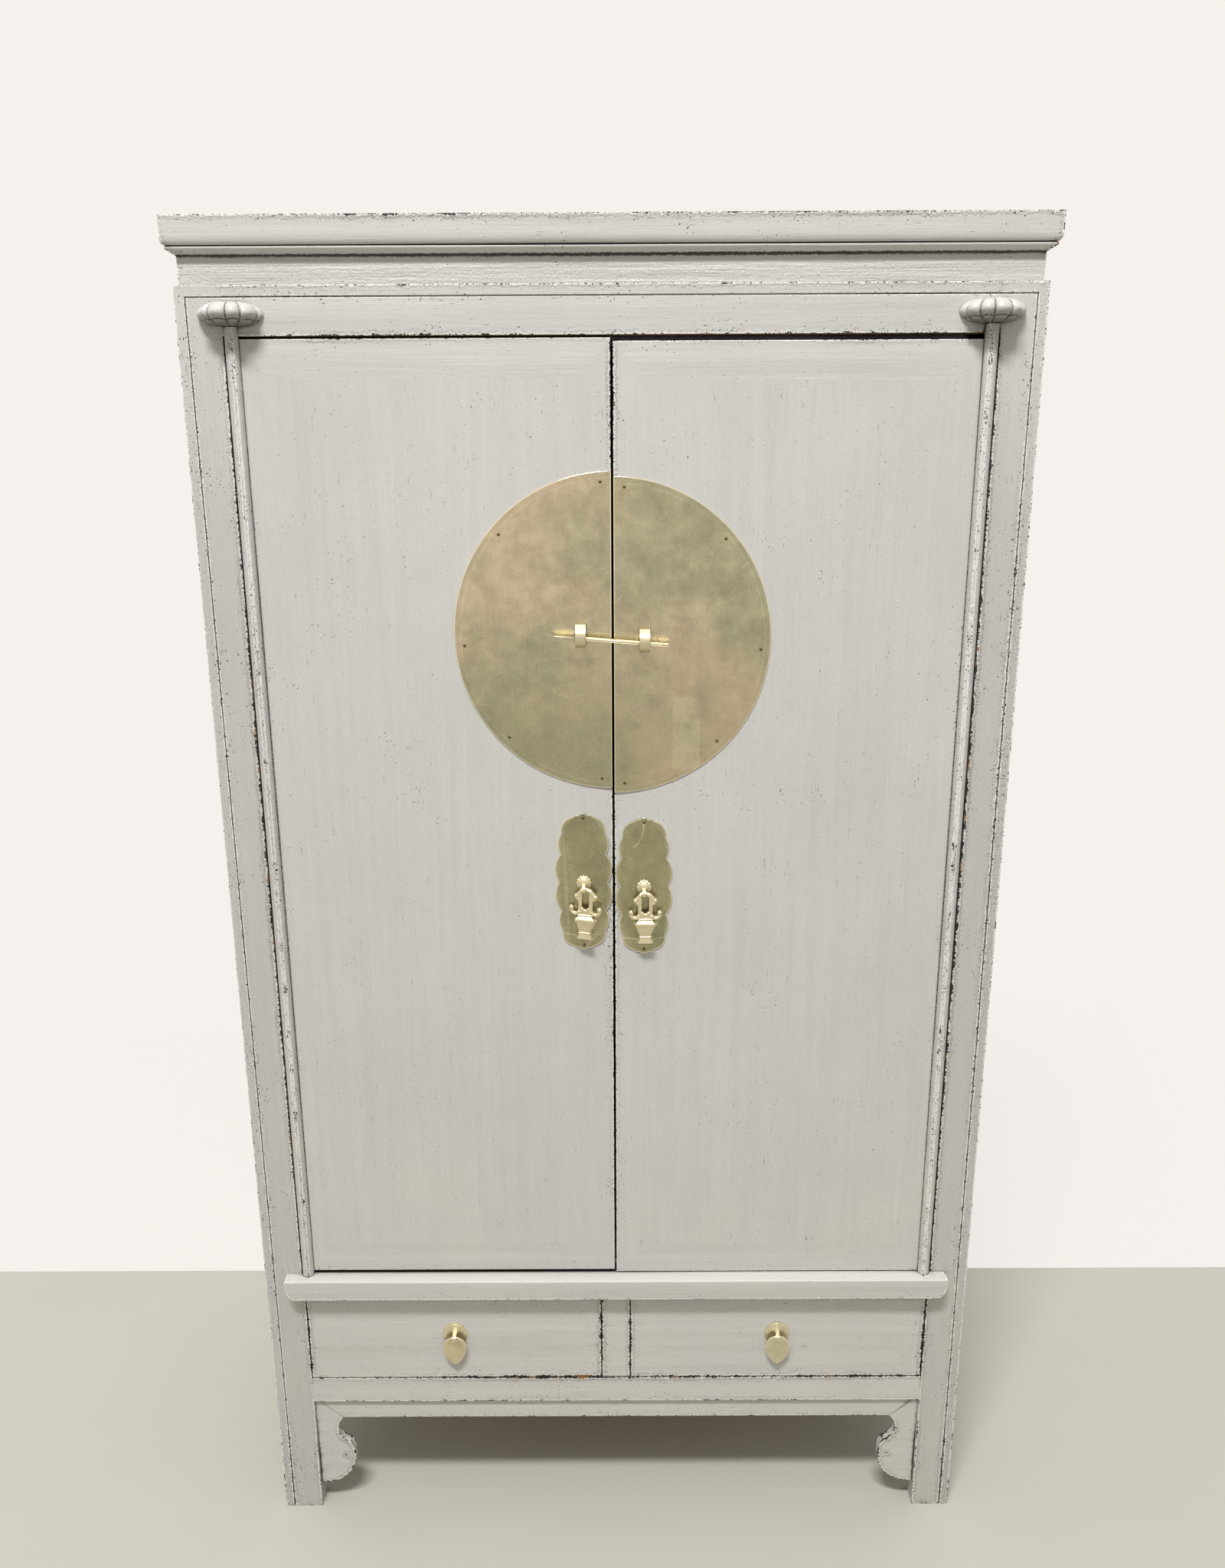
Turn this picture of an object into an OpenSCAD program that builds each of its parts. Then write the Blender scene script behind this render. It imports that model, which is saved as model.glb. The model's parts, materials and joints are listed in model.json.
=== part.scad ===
// Wedding cabinet: a tall two-door cupboard on post feet with two drawers below.
// Millimetres, +Z up, front towards -Y, origin at the middle of the base on the floor.

/* [Carcass] */
// Width across the posts
carcass_w = 1050; // [950:10:1150]
// Depth across the posts
carcass_d = 520; // [460:10:580]
// Height of the legs below the drawer rail
leg_h = 199; // [180:1:230]
// Height of the rail below the drawers
drawer_rail_h = 43; // [36:1:60]
// Height of the drawer openings
drawer_open_h = 145; // [130:1:170]
// Height of the sill rail between drawers and doors
sill_h = 42; // [36:1:50]
// Height of the door opening
opening_h = 1319; // [1200:1:1450]
// Height of the front top rail
top_rail_h = 58; // [50:1:80]
// Width of a post seen from the front
post_w = 57; // [50:1:70]
// Depth of a post, and of the front and back rails
post_d = 34; // [30:1:44]
// Width of the muntin between the drawers
muntin_w = 42; // [30:1:60]

/* [Frame details] */
// Width of the border strip outside the groove
border_w = 13.5; // [10:0.5:20]
// Width of the border groove
groove_w = 1.6; // [1:0.1:3]
// Depth of the border groove
groove_depth = 1.2; // [0.8:0.1:2]
// Width of the worn chamfer on the inner front edge of a post
post_chamfer = 3; // [1:0.5:5]
// Length of the tenons of the front and back rails
tenon_l = 22; // [16:1:28]
// Length of the tenons of the side rails and of the muntin
short_tenon_l = 10; // [6:1:12]
// Thickness of all tenons
tenon_t = 10; // [8:1:12]
// Distance of a tenon from the edges of its rail
tenon_inset = 7; // [6.5:0.5:10]
// Thickness of the side rails
side_rail_t = 30; // [26:1:36]
// Height of the side and back rails at the top
side_top_rail_h = 58; // [40:1:80]
// Height of the side rails below the cupboard floor
side_mid_rail_h = 42; // [36:1:60]
// Thickness of the side and back panels
panel_t = 10; // [8:1:14]
// Distance of the side and back panels from the outer faces
panel_inset = 8; // [6:1:10]
// Depth of the grooves that hold the panels
tongue = 6; // [4:0.5:6]

/* [Cornice and frieze] */
// Height of the frieze boards
frieze_h = 33; // [25:1:50]
// Thickness of the frieze boards
frieze_t = 18; // [14:1:24]
// How far the frieze stands back from the frame
frieze_inset = 5.5; // [3:0.5:9]
// Height of the cornice
cornice_h = 43; // [38:1:60]
// How far the cornice stands out past the frame
cornice_over = 8.6; // [7:0.1:20]
// Width of the cornice boards
cornice_w = 60; // [50:1:80]
// Height of the flat face of the cornice
fascia_h = 22.5; // [16:0.5:28]
// Height of the rounded moulding under the flat face
ovolo_h = 10; // [7:0.5:12]
// How far the rounded moulding draws in
ovolo_in = 3.8; // [2.5:0.1:5]
// Radius of the bead under the cornice
bead_r = 2.4; // [1.8:0.1:3]
// Thickness of the top panel
top_panel_t = 16; // [12:1:22]
// How far the top panel lies below the cornice's top
top_panel_set = 2; // [1:0.5:6]

/* [Sill moulding] */
// How far the sill stands out from the frame
sill_proud = 20; // [15:0.5:30]
// How far the sill laps over each post
sill_lap = 23.5; // [15:0.5:35]
// Height of the sill's front face
sill_face_h = 31; // [24:0.5:32]
// How far the bead under the sill is set back
sill_bead_set = 5; // [3:0.5:8]
// Radius of the bead under the sill
sill_bead_r = 3.5; // [2.5:0.5:4]
// Radius of the sill's upper front edge
sill_edge_r = 2; // [1:0.5:3]
// Width of the curve at the sill's ends
sill_end_w = 13; // [8:1:16]
// Height of the curve at the sill's ends
sill_end_h = 23; // [15:1:24]

/* [Apron] */
// Height of the apron
apron_h = 35; // [25:1:45]
// Thickness of the apron and its brackets
apron_t = 12; // [10:1:16]
// How far the apron stands back from the frame
apron_set = 6; // [4:1:10]
// Height of the brackets' lower ends above the floor
bracket_z = 40; // [25:1:50]
// Width of a bracket where it meets the apron's lower edge
bracket_w = 43; // [38:1:50]
// Radius of the bracket's round lobe
lobe_r = 52; // [48:1:54]
// Distance of the lobe's centre from the post
lobe_x = 6; // [2:1:8]
// Radius of the hollow above the lobe
hollow_r = 27; // [24:1:29]
// Distance of the hollow's centre from the post
hollow_x = 60; // [58:1:64]
// Distance of the hollow's centre below the apron
hollow_drop = 21; // [18:1:24]

/* [Lotus caps] */
// Radius of a petal
petal_r = 14; // [13:0.1:15]
// Radius of the ring of petals
petal_ring_r = 26.7; // [25.5:0.1:28]
// Angle between petals
petal_step = 40; // [36:1:45]
// Radius of the edge of the cap's core
core_edge_r = 12.2; // [11:0.1:13]
// Radius of the flat of the cap's core
core_flat_r = 20; // [16:1:22]
// How far the ring's centre lies behind the frame's face
cap_set = 2.7; // [0:0.1:4]
// How far the cap's middle lies inwards of the pole
cap_shift = 1.5; // [0:0.5:6]
// Height of the cap above the top rail's lower edge
cap_lift = 10.5; // [9:0.5:14]
// Depth of the cap's tail in the rail
cap_tail_d = 12; // [11:0.5:16]
// Height of the cap's tail
cap_tail_h = 26; // [22:1:30]

/* [Doors] */
// Thickness of a door
leaf_t = 22; // [20:1:26]
// Gap between the doors
seam_gap = 3; // [2:0.5:6]
// Gap above the left door
leaf_top_gap = 3; // [2:0.5:6]
// Gap below the left door
leaf_bottom_gap = 5.5; // [5:0.5:9]
// How much lower the right door hangs
right_drop = 4; // [0:0.5:4.5]
// Width of the hinge stile from the middle of its pole
hinge_stile_w = 43; // [38:1:60]
// Width of the meeting stile
meeting_stile_w = 42; // [38:1:60]
// Height of the door's top and bottom rails
door_rail_h = 46; // [38:1:70]
// How far the bevel of the door's frame falls to its edges
bevel_depth = 1; // [0.5:0.1:2]
// Thickness of the door's panel
door_panel_t = 10; // [8:1:12]
// How far the panel's tongue lies behind its face
tongue_set = 4; // [3:0.5:5]
// Height of the battens behind the panel
batten_h = 36; // [28:1:60]
// Height of the lower batten above the door's bottom, as a part of the door's height
batten_part = 0.3; // [0.2:0.05:0.4]
// Height of the stop behind the doors' upper edge
stop_h = 12; // [10:1:16]
// Gap between a closed door and the stop
stop_gap = 0.4; // [0.3:0.1:1]

/* [Door poles] */
// Radius of a door's pole
pole_r = 8.2; // [7.5:0.1:9]
// Gap between the pole and the wood round it
pole_gap = 0.3; // [0.3:0.1:0.8]
// Radius of the pivots at the pole's ends
pivot_r = 5; // [4:0.1:6]
// Radial clearance of a pivot in its socket
pivot_clear = 0.05; // [0.02:0.01:0.1]
// Length of a pivot
pivot_l = 14; // [10:1:18]
// Depth of the cup in the sill round the pole
cup_depth = 3; // [2:0.5:5]
// Gap between the pole and the cup
cup_gap = 0.8; // [0.4:0.1:1.5]
// Radius of the groove between the pole's reeds
reed_groove_r = 1.2; // [0.8:0.1:1.6]
// Angle of the reed groove from straight ahead
reed_angle = 12; // [0:1:25]

/* [Moon plate] */
// Radius of the moon plate
moon_r = 204; // [180:1:215]
// Thickness of the brass plates
plate_t = 1.5; // [1:0.1:2.5]
// Height of the moon plate's middle above the sill
moon_up = 956; // [900:1:1000]
// How much lower the right door's fittings sit
fittings_drop = 6.5; // [0:0.5:8]
// Distance of the nails from the moon plate's edge
nail_in = 12.5; // [8:0.5:18]
// Radius of a nail's shank
nail_r = 1; // [0.8:0.1:1.4]
// Radius of a nail's head
nail_head_r = 2; // [1.6:0.1:3]
// Height of a nail's head
nail_head_h = 0.9; // [0.6:0.1:1.2]

/* [Lock] */
// Distance of each lug from the seam
lug_x = 41; // [34:1:50]
// Width of a lug
lug_w = 13; // [10:0.5:16]
// Height of a lug
lug_h = 30.4; // [26:0.2:34]
// Thickness of a lug's strap
lug_strap = 2.2; // [1.6:0.1:3]
// Length of a lug's straight legs
lug_leg = 9; // [6:0.5:12]
// Radius of the lock pin
pin_r = 2.7; // [2.2:0.1:3.2]
// Length of the lock pin right of the seam
pin_right = 71; // [60:1:80]
// Length of the lock pin left of the seam
pin_left = 80; // [70:1:90]
// How far the pin lies below the lugs' middles
pin_sag = 2; // [0:0.5:4]
// Gap between the pin and the lugs
pin_gap = 0.5; // [0.4:0.1:1]
// Radius of the hole near the pin's right end
pin_hole_r = 0.9; // [0.6:0.1:1.2]
// Distance of that hole from the pin's end
pin_hole_in = 7; // [5:0.5:10]
// Width of the pin's flattened grip
grip_w = 13; // [9:0.5:15]
// Thickness of the grip
grip_t = 1.8; // [1.4:0.1:2.4]
// Angle of the grip, its front edge raised
grip_tilt = 12; // [0:1:30]

/* [Pull plates] */
// Distance of each pull plate's middle from the seam
pull_x = 41; // [40:0.5:48]
// Height of the left pull plate's middle above the sill
pull_up = 619; // [560:1:680]
// Half width of the two middle lobes
lobe_mid_w = 38.5; // [36:0.5:38.5]
// Half width of the lobes beside them
lobe_next_w = 34; // [32:0.5:36]
// Half width of the shoulders
shoulder_w = 29.6; // [28:0.2:31]
// Height of the middle lobes' middles from the plate's middle
lobe_mid_z = 18.5; // [17:0.5:20]
// Height of the next lobes' middles
lobe_next_z = 54.5; // [52:0.5:57]
// Height of the shoulders' middles
shoulder_z = 74; // [72:0.5:76]
// Radius of the middle lobes
lobe_mid_r = 34; // [30:1:38]
// Radius of the next lobes
lobe_next_r = 28; // [25:1:30]
// Radius of the shoulders
shoulder_r = 18.5; // [17:0.5:20]
// Radius of the small scallops
scallop_r = 4.5; // [4:0.1:5]
// Radius of the end lobes
end_lobe_r = 7; // [6:0.5:8]
// Half height of the pull plate
pull_h = 98; // [96:0.5:100]

/* [Basket pulls] */
// Radius of the rosette
rosette_r = 10.6; // [9:0.2:12]
// Number of scallops on the rosette
rosette_n = 14; // [10:1:18]
// Radius of a rosette scallop
rosette_lobe_r = 2.4; // [2:0.1:3]
// Height of the rosette
rosette_h = 4; // [3:0.2:5]
// How far the pivot lies below the rosette's middle
eye_drop = 6; // [5:0.5:7]
// How far the pivot stands out from the pull plate
eye_out = 10.8; // [10.5:0.1:13]
// Inner radius of the eye
eye_r = 4.2; // [4:0.1:4.6]
// Thickness of the eye's strap
eye_strap = 1.3; // [1:0.1:1.6]
// Width of the eye's strap
eye_w = 5; // [4:0.2:6]
// Radius of the basket's bow
bow_r = 2.8; // [2.4:0.1:3]
// Gap between the bow and the bottom of the eye
bow_gap = 0.5; // [0.4:0.1:0.8]
// Half length of the straight top of the bow
bow_flat = 6.5; // [6.4:0.1:8]
// Radius of the bow's shoulders
bow_bend_r = 6.5; // [6:0.5:8]
// Radius of the knots on the bow
knot_r = 3.3; // [3:0.1:3.6]
// Half width of the window below the bow
window_w = 5; // [4.6:0.1:6]
// Thickness of the frame round the window
stem_t = 4; // [3:0.2:5]
// Distance from the pivot to the window's lower edge
window_bottom = 27; // [24:0.5:30]
// Radius of the side scrolls
scroll_r = 6; // [5:0.5:7]
// Radius of the scrolls' rods
scroll_rod_r = 2.1; // [1.8:0.1:2.6]
// Half width over the side scrolls
scroll_w = 22; // [20:0.5:24]
// Distance from the pivot to the basket's rim
rim_z = 38; // [36:0.5:40]
// Height of the rim
rim_h = 8; // [6:0.5:10]
// Half width of the rim
rim_w = 17.4; // [15:0.2:19]
// Half depth of the rim
rim_d = 6; // [5:0.2:6.5]
// Angle of the faces beside the basket's ridges
basket_ridge = 50; // [42:1:54]
// Height of the basket's body
basket_h = 14; // [12:0.5:18]
// Half width of the basket's waist
waist_w = 9.4; // [8:0.2:11]
// Height of the foot
basket_foot_h = 10; // [8:0.5:12]
// Half width of the foot
basket_foot_w = 12.2; // [10:0.2:14]
// Tilt of the left basket in the door's plane
basket_tilt = 2.5; // [0:0.5:3]
// Twist of the left basket about the upright
basket_twist = 12; // [0:1:12]
// How far the left basket has slipped towards the seam
left_basket_shift = 3.5; // [-3.5:0.5:3.5]
// How far the right basket has slipped towards the seam
right_basket_shift = -1.5; // [-3.5:0.5:3.5]

/* [Drawers] */
// Gap round the drawer fronts
drawer_gap = 1.5; // [1:0.1:3]
// Thickness of the drawer fronts
drawer_front_t = 20; // [16:1:24]
// Thickness of the drawer sides and backs
drawer_side_t = 12; // [9:1:15]
// Height of the drawer sides
drawer_side_h = 128; // [90:1:128]
// Length of the drawer box behind its front
drawer_box_l = 430; // [300:10:440]
// Thickness of the drawer bottoms
drawer_bottom_t = 8; // [6:1:12]
// Height of the drawer bottoms above the sides' lower edges
drawer_bottom_up = 4; // [2:1:10]
// Gap between a drawer and its runners
slide_gap = 0.3; // [0.3:0.1:1]
// Height of the runners and kickers
runner_h = 20; // [16:1:28]
// Width of a runner and kicker inside the post's face
runner_w = 24; // [18:1:32]
// Height of the drawer guides
guide_h = 19; // [12:1:30]
// Gap between the kickers and the drawer sides
kicker_gap = 1.5; // [1:0.5:3]

/* [Drawer pulls] */
// Radius of the disc
disc_r = 18.7; // [16:0.1:22]
// Thickness of the disc's rim
disc_rim_t = 1.2; // [0.8:0.1:2]
// Thickness of the disc's raised middle
disc_boss_t = 0.8; // [0.5:0.1:1.5]
// Width of the disc's rim
disc_rim_w = 1.6; // [1:0.1:3]
// Height of the disc above the middle of the drawer opening
disc_up = 8; // [0:1:20]
// How far the pivot stands out from the drawer front
drop_out = 9.5; // [9:0.5:12]
// Inner radius of the staple
staple_r = 2.8; // [2.6:0.1:3.2]
// Thickness of the staple
staple_strap = 1.5; // [1.2:0.1:1.8]
// Width of the staple
staple_w = 5.5; // [4:0.5:6]
// Thickness of the drop
drop_t = 2.8; // [2:0.1:3]
// Half width of the drop
drop_w = 17.6; // [15:0.2:20]
// Length of the drop from the pivot to its point
drop_l = 47.5; // [42:0.5:54]
// Distance from the pivot to the slot
slot_z = 1.6; // [1.4:0.1:2]
// Height of the slot
slot_h = 3.6; // [3.3:0.1:4.4]
// Gap beside the staple in the slot
slot_gap = 0.5; // [0.4:0.1:1]
// How far the drop's pivot hangs below the staple's middle
drop_sag = 0.3; // [0.1:0.1:0.4]

/* [Inside] */
// Thickness of the cupboard floor
floor_t = 14; // [12:1:20]
// Height of the shelf above the cupboard floor
shelf_up = 656; // [500:1:800]
// Thickness of the shelf
shelf_t = 16; // [14:1:22]
// Distance of the shelf from the frame's face
shelf_set = 60; // [45:1:120]
// Size of the battens under the shelf
shelf_batten = 20; // [15:1:30]

/* [Hidden] */

$fn = 64;
LEFT = -1;
RIGHT = 1;
lacquer = "#bdbab3";
lacquer_inside = "#8f8b84";
bare_wood = "#b08d62";
brass = "#b3a878";
pale_brass = "#d9cf9f";

// Overshoot of cutting solids
eps = 1;
// Points on a curved edge
curve_n = 10;

// Planes across the cabinet
half_w = carcass_w / 2;
inner_x = half_w - post_w;
rail_x = half_w - side_rail_t;
panel_x = half_w - panel_inset;
cap_proud = petal_ring_r + petal_r - cap_set;
front_y = cap_proud - (carcass_d + cap_proud) / 2;
back_y = front_y + carcass_d;
bay_front_y = front_y + post_d;
bay_back_y = back_y - post_d;

// Planes up the cabinet
drawer_z = leg_h + drawer_rail_h;
sill_z0 = drawer_z + drawer_open_h;
sill_z = sill_z0 + sill_h;
top_rail_z = sill_z + opening_h;
frame_top = top_rail_z + top_rail_h;
cornice_z = frame_top + frieze_h;
cabinet_h = cornice_z + cornice_h;
side_top_z = frame_top - side_top_rail_h;
side_mid_z1 = sill_z - floor_t;
side_mid_z0 = side_mid_z1 - side_mid_rail_h;

// Door poles and leaves
pole_x = inner_x - pole_r - pole_gap;
pole_z0 = sill_z - cup_depth + pole_gap;
cap_z0 = top_rail_z + cap_lift;
cap_z = cap_z0 + petal_r;
pole_z1 = cap_z0 - pole_gap;
leaf_z0 = sill_z + leaf_bottom_gap;
leaf_z1 = top_rail_z - leaf_top_gap;
stile_x = pole_x - hinge_stile_w;
pole_edge_x = pole_x - pole_r;
seam_x = seam_gap / 2;
meeting_x = seam_x + meeting_stile_w;
panel_face_z0 = leaf_z0 + door_rail_h;
panel_face_z1 = leaf_z1 - door_rail_h;

// Fittings of the left door
plate_y = front_y - plate_t;
moon_z = sill_z + moon_up;
pull_z = sill_z + pull_up;
nail_ring_r = moon_r - nail_in;
nail_angles = [85.5, 41.5, -4, -44.5, -85.5];
pull_nail_z = pull_h - end_lobe_r;
lug_r = lug_h / 2;
lug_inner_r = lug_r - lug_strap;
pin_depth = lug_leg + sqrt(pow(lug_inner_r - pin_r - pin_gap, 2) - pow(pin_sag, 2));
pin_y = plate_y - pin_depth;
pin_slope = atan(fittings_drop / (2 * lug_x));
pin_mid_z = moon_z - pin_sag - fittings_drop / 2;
grip_l = pin_left - lug_x - lug_w / 2 - pin_gap;
eye_y = plate_y - eye_out;
bow_z = pull_z - eye_drop - (eye_r - bow_r - bow_gap);

// Drawers
box_x0 = muntin_w / 2 + drawer_gap;
box_x1 = inner_x - drawer_gap;
box_z = drawer_z + drawer_gap;
box_y = front_y + drawer_front_t;
box_top = box_z + drawer_side_h;
runner_top = box_z - slide_gap;
kicker_z = box_top + kicker_gap;
disc_x = (inner_x + muntin_w / 2) / 2;
disc_z = drawer_z + drawer_open_h / 2 + disc_up;
drop_y = front_y - drop_out;
drop_z = disc_z - drop_sag;

// Shelf
shelf_z = sill_z + shelf_up;
bay_x = panel_x - panel_t;

// A box between two corners
module slab(x0, x1, y0, y1, z0, z1) {
    translate([x0, y0, z0]) cube([x1 - x0, y1 - y0, z1 - z0]);
}

// A box that is the same on both sides of the middle plane
module wide(x, y0, y1, z0, z1) {
    slab(-x, x, y0, y1, z0, z1);
}

// Draws the left-hand shape, or its mirror image on the right
module on_side(side) {
    if (side == LEFT) {
        children();
    } else {
        mirror([1, 0, 0]) children();
    }
}

// Points of an arc, or of a quarter ellipse when the radii differ
function arc(cx, cy, rx, ry, a0, a1) = [
    for (i = [0 : curve_n]) let (a = a0 + (a1 - a0) * i / curve_n) [cx + rx * cos(a), cy + ry * sin(a)]
];

// Extrudes a shape drawn in X and Z from y0 back to y1
module face_prism(y0, y1) {
    translate([0, y1, 0]) rotate([90, 0, 0]) linear_extrude(y1 - y0) children();
}

// Extrudes a shape drawn in Y and Z from x0 to x1
module side_prism(x0, x1) {
    translate([x0, 0, 0]) rotate([90, 0, 90]) linear_extrude(x1 - x0) children();
}

// Frame joinery

// Tenons of one front or back rail, as a thin board through both posts
module long_tenons(y0, z0, z1) {
    mid_y = y0 + post_d / 2;
    wide(inner_x + tenon_l, mid_y - tenon_t / 2, mid_y + tenon_t / 2, z0 + tenon_inset, z1 - tenon_inset);
}

module front_tenons() {
    long_tenons(front_y, leg_h, drawer_z);
    long_tenons(front_y, sill_z0, sill_z);
    long_tenons(front_y, top_rail_z, frame_top);
}

module back_tenons() {
    long_tenons(bay_back_y, leg_h, drawer_z);
    long_tenons(bay_back_y, sill_z0, sill_z);
    long_tenons(bay_back_y, side_top_z, frame_top);
}

// Tenons of one left side rail
module side_tenon(z0, z1) {
    mid_x = panel_x - panel_t / 2;
    slab(-mid_x - tenon_t / 2, -mid_x + tenon_t / 2, bay_front_y - short_tenon_l, bay_back_y + short_tenon_l,
        z0 + tenon_inset, z1 - tenon_inset);
}

module side_tenons_left() {
    side_tenon(leg_h, drawer_z);
    side_tenon(side_mid_z0, side_mid_z1);
    side_tenon(side_top_z, frame_top);
}

// Panels with their tongues, which also cut the grooves

module side_panels_shape() {
    for (span = [[drawer_z, side_mid_z0], [side_mid_z1, side_top_z]]) {
        slab(-panel_x, -bay_x, bay_front_y - tongue, bay_back_y + tongue, span[0] - tongue, span[1] + tongue);
    }
}

module back_panels_shape() {
    for (span = [[drawer_z, sill_z0], [sill_z, side_top_z]]) {
        wide(inner_x + tongue, back_y - panel_inset - panel_t, back_y - panel_inset,
            span[0] - tongue, span[1] + tongue);
    }
}

// Groove along the outer edge of the posts and under the top edge of the frame
module border_groove() {
    groove_x = half_w - border_w;
    groove_z = frame_top - border_w;
    for (x = [-groove_x, groove_x])
        slab(x - groove_w / 2, x + groove_w / 2, front_y - eps, front_y + groove_depth,
            -eps, groove_z + groove_w / 2);
    wide(groove_x, front_y - eps, front_y + groove_depth,
        groove_z - groove_w / 2, groove_z + groove_w / 2);
}

module front_post(side) {
    color(lacquer) on_side(side) difference() {
        slab(-half_w, -inner_x, front_y, bay_front_y, 0, frame_top);
        border_groove();
        front_tenons();
        side_tenons_left();
        side_panels_shape();
        translate([-inner_x, front_y, sill_z]) rotate([0, 0, 45])
            translate([-post_chamfer / 2, -post_chamfer / 2, 0])
            cube([post_chamfer, post_chamfer, opening_h]);
    }
}

module back_post(side) {
    color(lacquer) on_side(side) difference() {
        slab(-half_w, -inner_x, bay_back_y, back_y, 0, frame_top);
        back_tenons();
        side_tenons_left();
        side_panels_shape();
        back_panels_shape();
    }
}

module front_top_rail() {
    notch_w = 2 * (pole_r + pole_gap);
    stop_y = front_y + leaf_t + stop_gap;
    stop_x = stile_x + hinge_stile_w / 2;
    color(lacquer) difference() {
        union() {
            wide(inner_x, front_y, bay_front_y, top_rail_z, frame_top);
            long_tenons(front_y, top_rail_z, frame_top);
            wide(stop_x, stop_y, bay_front_y, top_rail_z - stop_h, top_rail_z);
        }
        border_groove();
        for (side = [LEFT, RIGHT]) on_side(side)
            slab(-inner_x, -inner_x + notch_w, front_y, front_y + cap_tail_d,
                top_rail_z, cap_z0 + cap_tail_h);
    }
}

module sill_profile() {
    z1 = sill_z;
    face_y = front_y - sill_proud;
    bead_y = face_y + sill_bead_set;
    face_z = z1 - sill_face_h;
    polygon(concat(
        [[front_y, z1]],
        arc(face_y + sill_edge_r, z1 - sill_edge_r, sill_edge_r, sill_edge_r, 90, 180),
        [[face_y, face_z], [bead_y + sill_bead_r, face_z]],
        arc(bead_y + sill_bead_r, face_z - sill_bead_r, sill_bead_r, sill_bead_r, 90, 270),
        [[front_y - sill_bead_set, sill_z0], [front_y, sill_z0]]
    ));
}

module sill_outline() {
    x = inner_x + sill_lap;
    low_x = x - sill_end_w;
    curve_z = sill_z - sill_face_h + sill_end_h;
    polygon(concat(
        [[x, sill_z]],
        arc(low_x, curve_z, sill_end_w, sill_end_h, 0, -90),
        [[low_x, sill_z0], [-low_x, sill_z0]],
        arc(-low_x, curve_z, sill_end_w, sill_end_h, 270, 180),
        [[-x, sill_z]]
    ));
}

module muntin_shape() {
    mid_y = front_y + post_d / 2;
    wide(muntin_w / 2, front_y, bay_front_y, drawer_z, sill_z0);
    wide(muntin_w / 2 - tenon_inset, mid_y - tenon_t / 2, mid_y + tenon_t / 2,
        drawer_z - short_tenon_l, sill_z0 + short_tenon_l);
}

module door_sill_rail() {
    color(lacquer) difference() {
        union() {
            wide(inner_x, front_y, bay_front_y, sill_z0, sill_z);
            long_tenons(front_y, sill_z0, sill_z);
            intersection() {
                side_prism(-half_w, half_w) sill_profile();
                face_prism(front_y - sill_proud, front_y) sill_outline();
            }
        }
        muntin_shape();
        for (x = [-pole_x, pole_x]) translate([x, front_y, 0]) {
            translate([0, 0, pole_z0 - pivot_l - pole_gap])
                cylinder(r = pivot_r + pivot_clear, h = opening_h);
            translate([0, 0, sill_z - cup_depth]) cylinder(r = pole_r + cup_gap, h = opening_h);
        }
    }
}

module drawer_rail() {
    color(lacquer) difference() {
        union() {
            wide(inner_x, front_y, bay_front_y, leg_h, drawer_z);
            long_tenons(front_y, leg_h, drawer_z);
        }
        muntin_shape();
    }
}

module drawer_muntin() {
    color(lacquer) muntin_shape();
}

// Apron, cut at a slant where it meets the brackets

module apron() {
    low_x = inner_x - bracket_w;
    color(lacquer) face_prism(front_y + apron_set, front_y + apron_set + apron_t)
        polygon([[-inner_x, leg_h], [inner_x, leg_h], [low_x, leg_h - apron_h], [-low_x, leg_h - apron_h]]);
}

module bracket_outline() {
    apron_z = leg_h - apron_h;
    lobe_z = bracket_z + lobe_r;
    difference() {
        union() {
            polygon([[0, leg_h], [bracket_w, apron_z], [bracket_w, lobe_z], [0, lobe_z]]);
            intersection() {
                translate([lobe_x, lobe_z]) circle(lobe_r);
                translate([0, bracket_z]) square([lobe_x + lobe_r, apron_z - bracket_z]);
            }
        }
        translate([hollow_x, apron_z - hollow_drop]) circle(hollow_r);
    }
}

module apron_bracket(side) {
    color(lacquer) on_side(side) translate([-inner_x, 0, 0])
        face_prism(front_y + apron_set, front_y + apron_set + apron_t) bracket_outline();
}

// Sides and back

module side_rails(side) {
    color(lacquer) on_side(side) difference() {
        union() {
            for (span = [[leg_h, drawer_z], [side_mid_z0, side_mid_z1], [side_top_z, frame_top]])
                slab(-half_w, -rail_x, bay_front_y, bay_back_y, span[0], span[1]);
            side_tenons_left();
        }
        side_panels_shape();
    }
}

module back_rails() {
    color(lacquer) difference() {
        union() {
            for (span = [[leg_h, drawer_z], [sill_z0, sill_z], [side_top_z, frame_top]])
                wide(inner_x, bay_back_y, back_y, span[0], span[1]);
            back_tenons();
        }
        back_panels_shape();
    }
}

module side_panels(side) {
    color(lacquer) on_side(side) side_panels_shape();
}

module back_panels() {
    color(lacquer_inside) back_panels_shape();
}

// Frieze: boards on the frame, round all four sides

module frieze() {
    x = half_w - frieze_inset;
    y = front_y + frieze_inset;
    color(lacquer) difference() {
        wide(x, y, back_y, frame_top, cornice_z);
        wide(x - frieze_t, y + frieze_t, back_y - frieze_t, frame_top - eps, cornice_z + eps);
    }
}

// Cornice profile: outward distance from the frame's face against height
module cornice_profile(depth) {
    z1 = cabinet_h;
    ovolo_z = z1 - fascia_h - ovolo_h;
    bead_z = ovolo_z - bead_r - groove_depth / 2;
    bead_out = cornice_over - ovolo_in - bead_r;
    polygon(concat(
        [[-depth, z1], [cornice_over, z1], [cornice_over, z1 - fascia_h]],
        arc(cornice_over - ovolo_in, z1 - fascia_h, ovolo_in, ovolo_h, 0, -90),
        [[bead_out, ovolo_z]],
        arc(bead_out, bead_z, bead_r, bead_r, 90, -90),
        [[-frieze_inset, cornice_z], [-depth, cornice_z]]
    ));
}

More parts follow.
